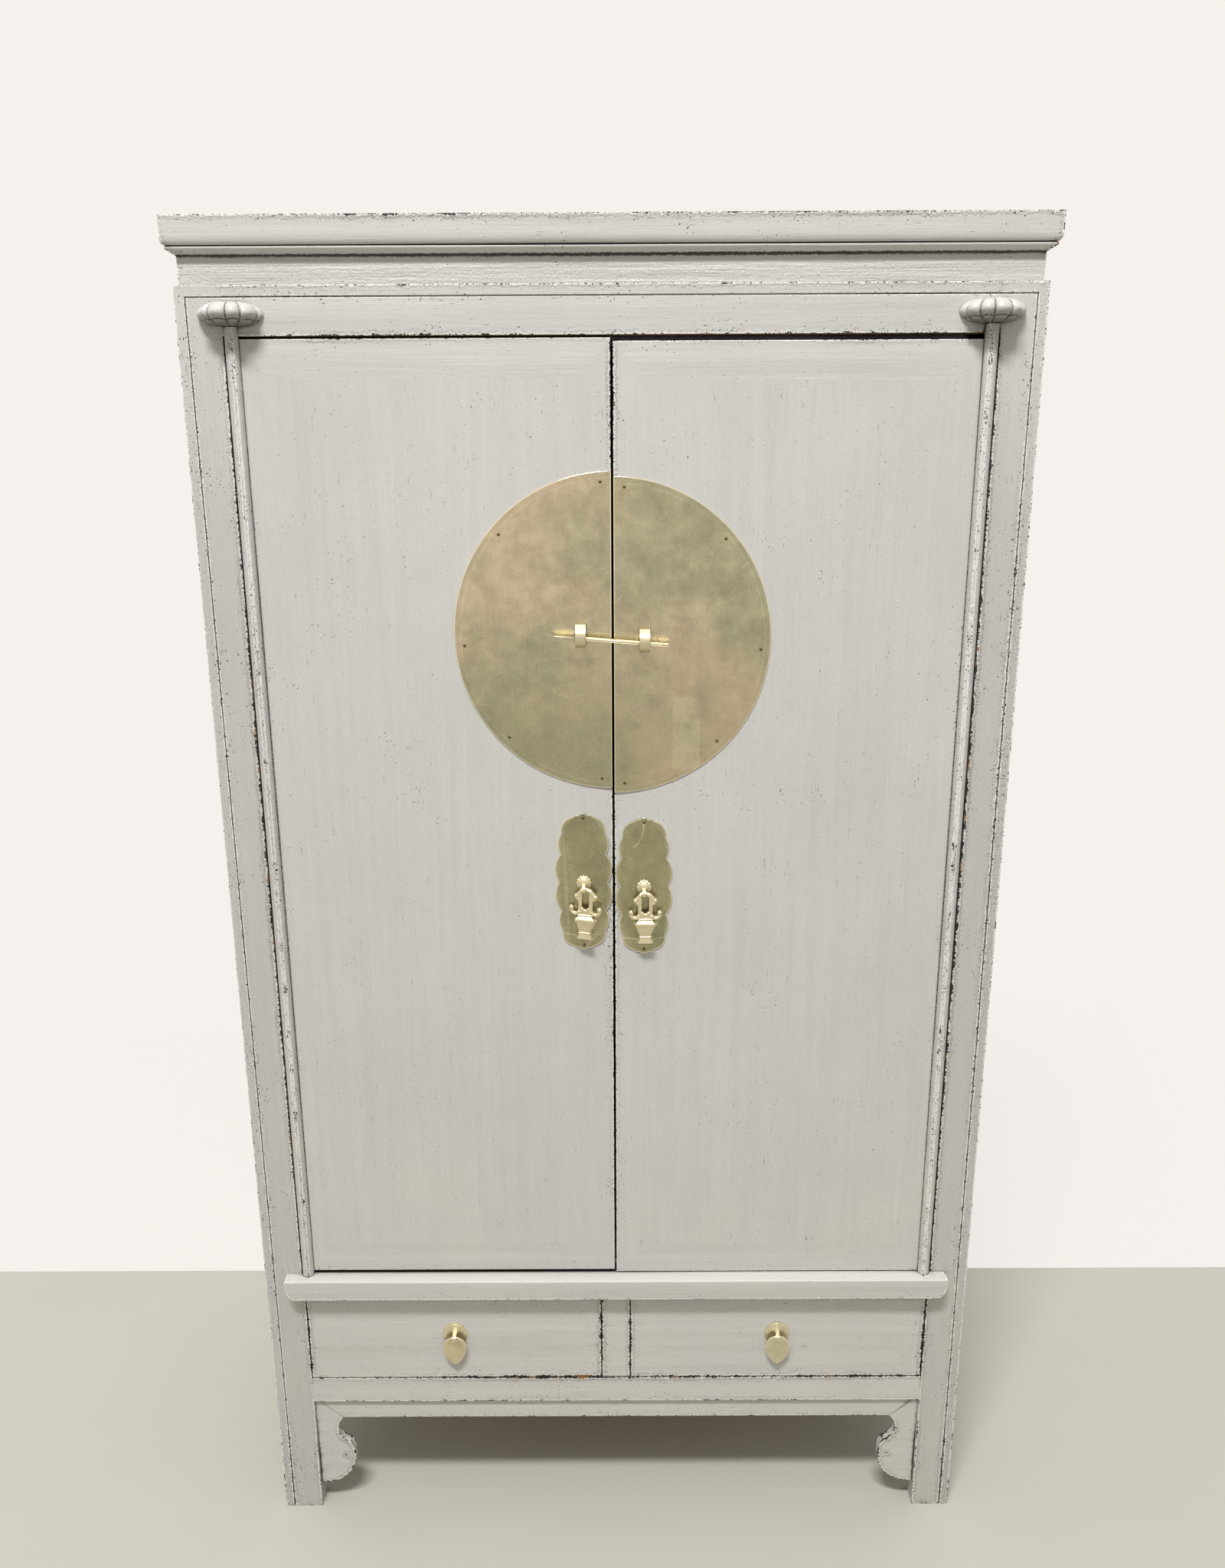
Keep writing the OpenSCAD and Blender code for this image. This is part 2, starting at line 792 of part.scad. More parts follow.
// Moulded at the left end, and longer than the cabinet at the other
module cornice_side() {
    translate([-half_w, 0, 0]) mirror([1, 0, 0])
        face_prism(front_y - cornice_over - eps, back_y + eps)
        cornice_profile(carcass_w + 2 * cornice_over);
}

module top_panel_shape() {
    x = half_w + cornice_over - cornice_w;
    y0 = front_y - cornice_over + cornice_w;
    y1 = back_y - cornice_w;
    z1 = cabinet_h - top_panel_set;
    wide(x, y0, y1, z1 - top_panel_t, z1);
    wide(x + tongue, y0 - tongue, y1 + tongue, z1 - top_panel_t, z1 - top_panel_t / 2);
}

module cornice() {
    far = half_w + cornice_over;
    near_y = front_y - cornice_over;
    color(lacquer) difference() {
        intersection() {
            translate([0, front_y, 0]) mirror([0, 1, 0])
                side_prism(-far - eps, far + eps) cornice_profile(carcass_d);
            cornice_side();
            mirror([1, 0, 0]) cornice_side();
        }
        wide(far - cornice_w, near_y + cornice_w, back_y - cornice_w, cornice_z - eps, cabinet_h + eps);
        top_panel_shape();
    }
}

module top_panel() {
    color(lacquer_inside) top_panel_shape();
}

// Lotus cap: petals round a core, with a tail in the rail that holds the upper pivot
module lotus_cap(side) {
    petals = [for (k = [-2 : 2]) 90 + k * petal_step];
    color(lacquer) on_side(side) difference() {
        union() {
            intersection() {
                translate([-pole_x + cap_shift, front_y + cap_set, cap_z]) {
                    rotate_extrude() {
                        translate([0, -core_edge_r]) square([core_flat_r, 2 * core_edge_r]);
                        intersection() {
                            translate([core_flat_r, 0]) circle(core_edge_r);
                            translate([0, -core_edge_r]) square(2 * (core_flat_r + core_edge_r));
                        }
                    }
                    for (a = petals)
                        translate([petal_ring_r * cos(a), -petal_ring_r * sin(a), 0])
                            rotate([90, 0, 0]) sphere(petal_r);
                }
                wide(half_w, front_y - cap_proud - eps, front_y, cap_z0 - eps, frame_top);
            }
            slab(-inner_x, -inner_x + 2 * (pole_r + pole_gap), front_y, front_y + cap_tail_d,
                cap_z0, cap_z0 + cap_tail_h);
        }
        translate([-pole_x, front_y, cap_z0 - eps])
            cylinder(r = pivot_r + pivot_clear, h = pivot_l + eps);
    }
}

// Inside of the cupboard

module cupboard_floor() {
    color(lacquer_inside) wide(bay_x, bay_front_y, bay_back_y, side_mid_z1, sill_z);
}

module shelf() {
    color(lacquer_inside) wide(bay_x, front_y + shelf_set, bay_back_y, shelf_z - shelf_t, shelf_z);
}

module shelf_battens() {
    z1 = shelf_z - shelf_t;
    color(bare_wood) for (side = [LEFT, RIGHT]) on_side(side)
        slab(-bay_x, -bay_x + shelf_batten, front_y + shelf_set, bay_back_y, z1 - shelf_batten, z1);
}

// Runners under the drawers, each with a guide strip on it that keeps the drawers in line
module drawer_runners() {
    color(bare_wood) {
        for (side = [LEFT, RIGHT]) on_side(side) {
            slab(-rail_x, -inner_x + runner_w, bay_front_y, bay_back_y, runner_top - runner_h, runner_top);
            slab(-rail_x, -inner_x, bay_front_y, bay_back_y, runner_top, runner_top + guide_h);
        }
        wide(muntin_w / 2 + runner_w, bay_front_y, bay_back_y, runner_top - runner_h, runner_top);
        wide(muntin_w / 2, bay_front_y, bay_back_y, runner_top, runner_top + guide_h);
    }
}

module drawer_kickers() {
    color(bare_wood) {
        for (side = [LEFT, RIGHT]) on_side(side)
            slab(-rail_x, -inner_x + runner_w, bay_front_y, bay_back_y, kicker_z, kicker_z + runner_h);
        wide(muntin_w / 2 + runner_w, bay_front_y, bay_back_y, kicker_z, kicker_z + runner_h);
    }
}

// Doors, drawn for the left side with its leaf lowered by drop

// Bevelled frame of a door's front, seen from above: low at the edges, flush at the panel
module stile_profile() {
    back = front_y + leaf_t;
    polygon([
        [-pole_x, back], [-pole_x, front_y + bevel_depth], [-pole_edge_x, front_y + bevel_depth],
        [-stile_x, front_y], [-stile_x, back]
    ]);
}

module meeting_profile() {
    back = front_y + leaf_t;
    polygon([[-meeting_x, back], [-meeting_x, front_y], [-seam_x, front_y + bevel_depth], [-seam_x, back]]);
}

module door_panel_shape() {
    slab(-stile_x, -meeting_x, front_y, front_y + door_panel_t, panel_face_z0, panel_face_z1);
    slab(-stile_x - tongue, -meeting_x + tongue, front_y + tongue_set, front_y + door_panel_t,
        panel_face_z0 - tongue, panel_face_z1 + tongue);
}

module hinge_stile_outline() {
    polygon([
        [-pole_x, leaf_z0], [-pole_edge_x, leaf_z0], [-stile_x, panel_face_z0],
        [-stile_x, panel_face_z1], [-pole_edge_x, leaf_z1], [-pole_x, leaf_z1]
    ]);
}

module door_hinge_stile(side, drop) {
    groove_at = 270 + reed_angle;
    color(lacquer) on_side(side) {
        difference() {
            union() {
                translate([0, 0, -drop]) difference() {
                    intersection() {
                        translate([0, 0, leaf_z0]) linear_extrude(leaf_z1 - leaf_z0) stile_profile();
                        face_prism(front_y, front_y + leaf_t) hinge_stile_outline();
                    }
                    door_panel_shape();
                }
                translate([-pole_x, front_y, pole_z0]) cylinder(r = pole_r, h = pole_z1 - pole_z0);
                translate([-pole_x, front_y, pole_z0 - pivot_l])
                    cylinder(r = pivot_r, h = pole_z1 - pole_z0 + 2 * pivot_l - pole_gap);
            }
            translate([-pole_x + pole_r * cos(groove_at), front_y + pole_r * sin(groove_at), pole_z0 - eps])
                cylinder(r = reed_groove_r, h = pole_z1 - pole_z0 + 2 * eps);
        }
    }
}

module door_meeting_stile(side, drop) {
    color(lacquer) on_side(side) translate([0, 0, -drop]) difference() {
        intersection() {
            translate([0, 0, leaf_z0]) linear_extrude(leaf_z1 - leaf_z0) meeting_profile();
            face_prism(front_y, front_y + leaf_t) polygon([
                [-seam_x, leaf_z0], [-meeting_x, panel_face_z0], [-meeting_x, panel_face_z1],
                [-seam_x, leaf_z1]
            ]);
        }
        door_panel_shape();
    }
}

module door_rails(side, drop) {
    back = front_y + leaf_t;
    color(lacquer) on_side(side) translate([0, 0, -drop]) difference() {
        for (ends = [[leaf_z0, panel_face_z0], [leaf_z1, panel_face_z1]]) intersection() {
            side_prism(-pole_edge_x, -seam_x) polygon([
                [front_y + bevel_depth, ends[0]], [front_y, ends[1]], [back, ends[1]], [back, ends[0]]
            ]);
            face_prism(front_y, back) polygon([
                [-pole_edge_x, ends[0]], [-stile_x, ends[1]], [-meeting_x, ends[1]], [-seam_x, ends[0]]
            ]);
        }
        door_panel_shape();
    }
}

module door_panel(side, drop) {
    color(lacquer) on_side(side) translate([0, 0, -drop]) door_panel_shape();
}

module door_battens(side, drop) {
    rise = (leaf_z1 - leaf_z0) * batten_part;
    color(lacquer_inside) on_side(side)
        for (z = [leaf_z0 + rise, leaf_z1 - rise - batten_h])
            slab(-stile_x, -meeting_x, front_y + door_panel_t, front_y + leaf_t, z - drop, z + batten_h - drop);
}

// Brass fittings, drawn for the left door and lowered by drop

function moon_nail(a) = [-nail_ring_r * cos(a), moon_z + nail_ring_r * sin(a)];

module nail_hole(x, z) {
    translate([x, front_y + eps, z]) rotate([90, 0, 0]) cylinder(r = nail_r, h = plate_t + 2 * eps);
}

module nail(x, z) {
    cap_r = (nail_head_r * nail_head_r + nail_head_h * nail_head_h) / (2 * nail_head_h);
    translate([x, plate_y, z]) rotate([90, 0, 0]) {
        translate([0, 0, -plate_t]) cylinder(r = nail_r, h = plate_t);
        intersection() {
            translate([0, 0, nail_head_h - cap_r]) sphere(cap_r);
            cylinder(r = nail_head_r + eps, h = nail_head_h);
        }
    }
}

module moon_plate(side, drop) {
    color(brass) on_side(side) translate([0, 0, -drop]) difference() {
        intersection() {
            translate([0, front_y, moon_z]) rotate([90, 0, 0]) cylinder(r = moon_r, h = plate_t, $fn = 180);
            slab(-moon_r, -seam_x, plate_y, front_y, moon_z - moon_r, moon_z + moon_r);
        }
        for (a = nail_angles) nail_hole(moon_nail(a)[0], moon_nail(a)[1]);
    }
}

module pull_half_outline() {
    for (row = [
        [lobe_mid_w, lobe_mid_z, lobe_mid_r],
        [lobe_next_w, lobe_next_z, lobe_next_r],
        [shoulder_w, shoulder_z, shoulder_r]
    ]) translate([row[0] - row[2], row[1]]) circle(row[2]);
    translate([2 * scallop_r, pull_nail_z]) circle(scallop_r);
    translate([0, pull_nail_z]) circle(end_lobe_r);
    square([shoulder_w - shoulder_r + scallop_r, pull_nail_z]);
}

module pull_outline() {
    for (flip = [0, 1]) mirror([0, flip]) {
        pull_half_outline();
        mirror([1, 0]) pull_half_outline();
    }
}

module pull_plate(side, drop) {
    color(brass) on_side(side) translate([0, 0, -drop]) difference() {
        translate([-pull_x, 0, pull_z]) face_prism(plate_y, front_y) pull_outline();
        for (z = [-pull_nail_z, pull_nail_z]) nail_hole(-pull_x, pull_z + z);
    }
}

module door_nails(side, drop) {
    color(brass) on_side(side) translate([0, 0, -drop]) {
        for (a = nail_angles) nail(moon_nail(a)[0], moon_nail(a)[1]);
        for (z = [-pull_nail_z, pull_nail_z]) nail(-pull_x, pull_z + z);
    }
}

module lock_lug(side, drop) {
    color(pale_brass) on_side(side) translate([-lug_x, plate_y, moon_z - drop]) difference() {
        union() {
            slab(-lug_w / 2, lug_w / 2, -lug_leg, 0, -lug_r, lug_r);
            intersection() {
                translate([-lug_w / 2, -lug_leg, 0]) rotate([0, 90, 0]) cylinder(r = lug_r, h = lug_w);
                slab(-lug_w / 2, lug_w / 2, -lug_leg - lug_r, -lug_leg, -lug_r, lug_r);
            }
        }
        slab(-lug_w, lug_w, -lug_leg, eps, -lug_inner_r, lug_inner_r);
        translate([-lug_w, -lug_leg, 0]) rotate([0, 90, 0]) cylinder(r = lug_inner_r, h = 2 * lug_w);
    }
}

// Lock pin along its own axis, with a flattened grip at the left and a cross hole at the right
module lock_pin() {
    neck = pin_left - grip_l;
    half = grip_w / 2;
    color(pale_brass) translate([0, pin_y, pin_mid_z]) rotate([0, pin_slope, 0]) difference() {
        union() {
            translate([-neck, 0, 0]) rotate([0, 90, 0]) cylinder(r = pin_r, h = neck + pin_right);
            rotate([-grip_tilt, 0, 0]) translate([0, 0, -grip_t / 2]) linear_extrude(grip_t)
                polygon([
                    [-neck + pin_r, pin_r * 0.8], [-neck, pin_r], [-neck - grip_l * 0.25, half],
                    [-neck - grip_l * 0.55, half * 0.85], [-neck - grip_l * 0.8, half * 0.92],
                    [-pin_left, half * 0.2], [-pin_left, -half * 0.3],
                    [-neck - grip_l * 0.75, -half * 0.8], [-neck - grip_l * 0.3, -half * 0.95],
                    [-neck, -pin_r], [-neck + pin_r, -pin_r * 0.8]
                ]);
        }
        translate([pin_right - pin_hole_in, -grip_w, 0]) rotate([-90, 0, 0])
            cylinder(r = pin_hole_r, h = 2 * grip_w);
    }
}

// Scalloped rosette with the eye that carries the basket
module pull_eye(side, drop) {
    dome_r = rosette_r - rosette_lobe_r / 2;
    ball_r = (dome_r * dome_r + rosette_h * rosette_h) / (2 * rosette_h);
    lobe_ring = rosette_r - rosette_lobe_r;
    color(pale_brass) on_side(side) translate([-pull_x, plate_y, pull_z - drop - eye_drop]) difference() {
        union() {
            translate([0, 0, eye_drop]) intersection() {
                rotate([90, 0, 0]) {
                    translate([0, 0, rosette_h - ball_r]) sphere(ball_r);
                    for (k = [1 : rosette_n])
                        rotate([0, 0, k * 360 / rosette_n]) translate([lobe_ring, 0, 0]) sphere(rosette_lobe_r);
                }
                wide(rosette_r, -rosette_h, 0, -rosette_r, rosette_r);
            }
            slab(-eye_w / 2, eye_w / 2, -eye_out, 0, eye_r, eye_r + eye_strap);
            translate([-eye_w / 2, -eye_out, 0]) rotate([0, 90, 0]) cylinder(r = eye_r + eye_strap, h = eye_w);
        }
        translate([-eye_w, -eye_out, 0]) rotate([0, 90, 0]) cylinder(r = eye_r, h = 2 * eye_w);
    }
}

// Basket outline as half width, or half depth, against height
module basket_outline(rim, waist, ring, foot) {
    foot_z = rim_z + rim_h + basket_h;
    half = [
        [rim * 0.86, rim_z], [rim, rim_z + rim_h * 0.45], [rim * 0.9, rim_z + rim_h],
        [waist, foot_z], [ring, foot_z + 1.2], [waist * 1.02, foot_z + 2.6],
        [foot, foot_z + basket_foot_h]
    ];
    n = len(half);
    polygon(concat(
        [for (v = half) [v[0], -v[1]]],
        [for (i = [n - 1 : -1 : 0]) [-half[i][0], -half[i][1]]]
    ));
}

// Basket with a flat front and back that meet in a ridge at each side
module basket_flank(a) {
    part = cos(a);
    rotate([0, 0, a]) face_prism(-2 * rim_w, 2 * rim_w)
        basket_outline(rim_w * part, waist_w * part, waist_w * 1.12 * part, basket_foot_w * part);
}

module basket() {
    intersection() {
        side_prism(-rim_w, rim_w) basket_outline(rim_d, rim_d * 0.6, rim_d * 0.72, rim_d * 0.75);
        basket_flank(basket_ridge);
        basket_flank(-basket_ridge);
    }
}

// Torus arc in the X and Z plane, from angle a0 through the span
module rod_arc(x, z, r, rod, a0, span) {
    translate([x, 0, z]) rotate([90, 0, 0]) rotate([0, 0, a0])
        rotate_extrude(angle = span) translate([r, 0]) circle(rod, $fn = 32);
}

// Basket pendant about its pivot: bow with knots, window frame, scrolls and the basket
module basket_pendant_shape() {
    stem_x = window_w + stem_t;
    bend_x = bow_flat + bow_bend_r;
    neck_top = window_bottom;
    scroll_x = scroll_w - scroll_r - scroll_rod_r;
    scroll_z = neck_top + scroll_rod_r;
    translate([-bow_flat, 0, 0]) rotate([0, 90, 0]) cylinder(r = bow_r, h = 2 * bow_flat);
    for (flip = [0, 1]) mirror([flip, 0, 0]) {
        rod_arc(bow_flat, -bow_bend_r, bow_bend_r, bow_r, 0, 90);
        translate([bow_flat + bow_bend_r * sin(45), 0, bow_bend_r * (cos(45) - 1)]) sphere(knot_r);
        translate([bend_x, 0, -bow_bend_r]) sphere(knot_r);
        slab(window_w, stem_x, -stem_t / 2, stem_t / 2, -rim_z - 1, -bow_bend_r);
        slab(window_w, bend_x, -stem_t / 2, stem_t / 2, -bow_bend_r - bow_r, -bow_bend_r);
        rod_arc(scroll_x, -scroll_z, scroll_r, scroll_rod_r, 180, 200);
        translate([scroll_x + scroll_r, 0, -scroll_z + scroll_rod_r]) sphere(scroll_rod_r * 1.2);
    }
    slab(-stem_x, stem_x, -stem_t / 2, stem_t / 2, -rim_z - 1, -neck_top);
    rod_arc(0, -neck_top, window_w - scroll_rod_r / 2, scroll_rod_r, 180, 180);
    basket();
}

module basket_pendant(side, drop, shift, tilt, twist) {
    color(pale_brass) on_side(side) translate([-pull_x, eye_y, bow_z - drop])
        rotate([0, tilt, -twist]) translate([shift, 0, 0]) basket_pendant_shape();
}

// Drawers, drawn for the left side

module drawer_front(side) {
    color(lacquer) on_side(side)
        slab(-box_x1, -box_x0, front_y, box_y, box_z, sill_z0 - drawer_gap);
}

module drawer_box(side) {
    end_y = box_y + drawer_box_l;
    color(bare_wood) on_side(side) difference() {
        slab(-box_x1, -box_x0, box_y, end_y, box_z, box_top);
        slab(-box_x1 + drawer_side_t, -box_x0 - drawer_side_t, box_y - eps, end_y - drawer_side_t,
            box_z - eps, box_top + eps);
    }
}

module drawer_bottom(side) {
    z0 = box_z + drawer_bottom_up;
    color(bare_wood) on_side(side)
        slab(-box_x1 + drawer_side_t, -box_x0 - drawer_side_t, box_y, box_y + drawer_box_l - drawer_side_t,
            z0, z0 + drawer_bottom_t);
}

// Disc with the staple that carries the drop
module drawer_rose(side) {
    color(brass) on_side(side) translate([-disc_x, front_y, disc_z]) difference() {
        union() {
            rotate([90, 0, 0]) {
                cylinder(r = disc_r, h = disc_rim_t);
                cylinder(r = disc_r - disc_rim_w, h = disc_rim_t + disc_boss_t);
            }
            slab(-staple_w / 2, staple_w / 2, -drop_out, 0, staple_r, staple_r + staple_strap);
            translate([-staple_w / 2, -drop_out, 0]) rotate([0, 90, 0])
                cylinder(r = staple_r + staple_strap, h = staple_w);
        }
        translate([-staple_w, -drop_out, 0]) rotate([0, 90, 0]) cylinder(r = staple_r, h = 2 * staple_w);
    }
}

// Outline of the drop: a round top, flanks that run to a point, and the staple's slot
module drop_outline() {
    round_z = slot_z - drop_w;
    point_drop = drop_l + round_z;
    flank_r = (point_drop * point_drop + drop_w * drop_w) / (2 * drop_w);
    slot_w = staple_w / 2 + slot_gap;
    difference() {
        union() {
            translate([0, round_z]) circle(drop_w);
            intersection() {
                translate([drop_w - flank_r, round_z]) circle(flank_r);
                translate([flank_r - drop_w, round_z]) circle(flank_r);
                translate([-drop_w, -drop_l]) square([2 * drop_w, drop_l + round_z]);
            }
        }
        translate([-slot_w, -slot_z - slot_h]) square([2 * slot_w, slot_h]);
    }
}

module drawer_drop(side) {
    color(brass) on_side(side) translate([-disc_x, drop_y, drop_z])
        face_prism(-drop_t / 2, drop_t / 2) drop_outline();
}

front_post(LEFT);  // front_post_left
front_post(RIGHT);  // front_post_right
back_post(LEFT);  // back_post_left
back_post(RIGHT);  // back_post_right
front_top_rail();
door_sill_rail();
drawer_rail();
drawer_muntin();
apron();
apron_bracket(LEFT);  // apron_bracket_left
apron_bracket(RIGHT);  // apron_bracket_right
side_rails(LEFT);  // side_rails_left
side_rails(RIGHT);  // side_rails_right
back_rails();
side_panels(LEFT);  // side_panels_left
side_panels(RIGHT);  // side_panels_right
back_panels();
frieze();
cornice();
top_panel();
lotus_cap(LEFT);  // lotus_cap_left
lotus_cap(RIGHT);  // lotus_cap_right
cupboard_floor();
shelf();
shelf_battens();
drawer_runners();
drawer_kickers();
door_hinge_stile(LEFT, 0);  // left_door_hinge_stile
door_meeting_stile(LEFT, 0);  // left_door_meeting_stile
door_rails(LEFT, 0);  // left_door_rails
door_panel(LEFT, 0);  // left_door_panel
door_battens(LEFT, 0);  // left_door_battens
moon_plate(LEFT, 0);  // left_moon_plate
lock_lug(LEFT, 0);  // left_lock_lug
pull_plate(LEFT, 0);  // left_pull_plate
door_nails(LEFT, 0);  // left_door_nails
pull_eye(LEFT, 0);  // left_pull_eye
basket_pendant(LEFT, 0, left_basket_shift, basket_tilt, basket_twist);  // left_basket_pendant
door_hinge_stile(RIGHT, right_drop);  // right_door_hinge_stile
door_meeting_stile(RIGHT, right_drop);  // right_door_meeting_stile
door_rails(RIGHT, right_drop);  // right_door_rails
door_panel(RIGHT, right_drop);  // right_door_panel
door_battens(RIGHT, right_drop);  // right_door_battens
moon_plate(RIGHT, fittings_drop);  // right_moon_plate
lock_lug(RIGHT, fittings_drop);  // right_lock_lug
pull_plate(RIGHT, fittings_drop);  // right_pull_plate
door_nails(RIGHT, fittings_drop);  // right_door_nails
pull_eye(RIGHT, fittings_drop);  // right_pull_eye
basket_pendant(RIGHT, fittings_drop, right_basket_shift, 0, 0);  // right_basket_pendant
lock_pin();
drawer_front(LEFT);  // left_drawer_front
drawer_box(LEFT);  // left_drawer_box
drawer_bottom(LEFT);  // left_drawer_bottom
drawer_rose(LEFT);  // left_drawer_rose
drawer_drop(LEFT);  // left_drawer_drop
drawer_front(RIGHT);  // right_drawer_front
drawer_box(RIGHT);  // right_drawer_box
drawer_bottom(RIGHT);  // right_drawer_bottom
drawer_rose(RIGHT);  // right_drawer_rose
drawer_drop(RIGHT);  // right_drawer_drop
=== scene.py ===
import json
import math
from functools import partial

import bmesh
import bpy
import numpy as np
from mathutils import Matrix, Vector
from mathutils.bvhtree import BVHTree

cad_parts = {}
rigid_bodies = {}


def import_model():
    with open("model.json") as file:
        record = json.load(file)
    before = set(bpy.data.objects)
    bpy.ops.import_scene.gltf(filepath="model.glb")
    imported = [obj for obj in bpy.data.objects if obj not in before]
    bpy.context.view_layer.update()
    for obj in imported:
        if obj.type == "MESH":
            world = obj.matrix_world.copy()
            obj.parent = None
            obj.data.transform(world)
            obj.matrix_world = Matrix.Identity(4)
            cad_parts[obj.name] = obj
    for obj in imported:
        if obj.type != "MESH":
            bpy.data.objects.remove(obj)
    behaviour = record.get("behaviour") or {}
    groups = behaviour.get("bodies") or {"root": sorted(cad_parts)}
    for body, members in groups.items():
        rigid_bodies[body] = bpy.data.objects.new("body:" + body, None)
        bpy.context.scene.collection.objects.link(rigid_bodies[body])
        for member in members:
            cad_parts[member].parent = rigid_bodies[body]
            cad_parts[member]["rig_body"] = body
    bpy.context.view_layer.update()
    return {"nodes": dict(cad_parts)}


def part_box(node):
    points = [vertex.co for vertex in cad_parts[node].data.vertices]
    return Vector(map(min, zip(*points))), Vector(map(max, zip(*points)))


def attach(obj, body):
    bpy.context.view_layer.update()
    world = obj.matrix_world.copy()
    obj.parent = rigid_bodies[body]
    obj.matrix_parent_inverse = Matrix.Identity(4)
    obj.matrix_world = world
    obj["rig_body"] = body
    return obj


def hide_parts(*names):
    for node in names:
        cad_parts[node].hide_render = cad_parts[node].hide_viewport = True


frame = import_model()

bl_info = {
    "name": "Wedding Cabinet",
    "version": (1, 0, 0),
    "blender": (4, 5, 0),
    "location": "View3D > Sidebar > Cabinet",
    "description": "Dresses a grey lacquered two-door cabinet and its brass fittings",
    "category": "Object",
}

MM = 0.001
NODES = frame["nodes"]
BOXES = {name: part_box(name) for name in NODES}
SIDES = ("left", "right")
FAR = 40.0  # mm, the longest distance that the wear attributes hold
# Faces marked SHUT get painted shade
UNPAINTED, OPEN, SHUT = -1.0, 0.0, 1.0  # what a face of a board is marked as
FLAT, BEND, CORNER, SHARP = (math.radians(turn) for turn in (0.2, 3, 28, 38))  # what an edge is, by how much it turns
SAME_PLACE = 2e-6  # m, within which points are one
TOUCH, NARROW = 0.5 * MM, 8 * MM  # m, gaps that make a joint, and gaps narrow enough that a face across one gets painted shade
TREES = {}  # the nodes' search trees, each made when it is first needed

# Where a board is cut finely for its wear
MOST_EDGES, LEAST_LENGTH = 12, 0.03  # how many edges get cuts beside them, and how many metres of edge it takes
BESIDE_EDGE = (2.2, 6, 13)  # mm from an edge to the cuts beside it
CLEAR_OF_EDGE, BETWEEN_CUTS = 1.9, 1.2  # mm, at least
EVEN_STEP, FINE_STEP = 0.05, 0.008  # m between the other cuts, on most boards and on the brackets

# The photograph's camera: metres, radians and millimetres on a 36 mm long side
CAMERA_AT = (0.0016, -1.7554, 1.5900)
CAMERA_PITCH, CAMERA_YAW, CAMERA_ROLL = 0.2607, -0.0019, -0.0049
CAMERA_LENS = 27.035
CAMERA_BASE = Matrix(((1, 0, 0), (0, 0, -1), (0, 1, 0)))  # level, looking along y
WALL_Y = 0.329  # where the floor meets the background behind the cabinet
FLOOR = [(-12, -8, 0), (12, -8, 0), (12, 14, 0), (-12, 14, 0)]

# Lamps: name, place, width, height and watts; all are aimed at one point
LAMPS = (
    ("key_light", (-0.7, -3.4, 6.8), 2.0, 0.6, 440),
    ("left_light", (-5.0, 2.0, 1.9), 2.0, 2.0, 26),
    ("right_light", (5.0, 2.0, 1.9), 2.0, 2.0, 26),
    ("back_light", (0.0, 5.5, 2.2), 2.4, 2.0, 30),
)
LAMP_AIM = (0, 0, 1.0)

# The posts, and the boards whose brush marks run up, along, along on thick glossy lacquer, and from front to back
POSTS = [end + "_post_" + side for end in ("front", "back") for side in SIDES]
UPRIGHT = ["side_panels_" + side for side in SIDES]
UPRIGHT += [side + "_door_" + part for side in SIDES for part in ("hinge_stile", "meeting_stile", "panel")]
LEVEL = [
    "front_top_rail", "door_sill_rail", "drawer_rail", "drawer_muntin", "apron",
    "apron_bracket_left", "apron_bracket_right", "cornice",
    "left_door_rails", "right_door_rails", "left_drawer_front", "right_drawer_front",
]
GLOSSY = ["frieze"]
DEEP = ["side_rails_" + side for side in SIDES]

# Wear all along a board's edges, where it isn't the usual amount
USUAL_WEAR = 0.4
BASE_WEAR = {
    "cornice": 0.5, "front_top_rail": 0.5, "drawer_rail": 0.5, "front_post_left": 0.38, "front_post_right": 0.45,
    "left_door_panel": 0.15, "right_door_panel": 0.15, "left_door_rails": 0.35, "right_door_rails": 0.35,
    "apron": 0.6, "apron_bracket_left": 0.55, "apron_bracket_right": 0.55, "left_drawer_front": 0.55,
    "right_drawer_front": 0.55, "drawer_muntin": 0.6,
}
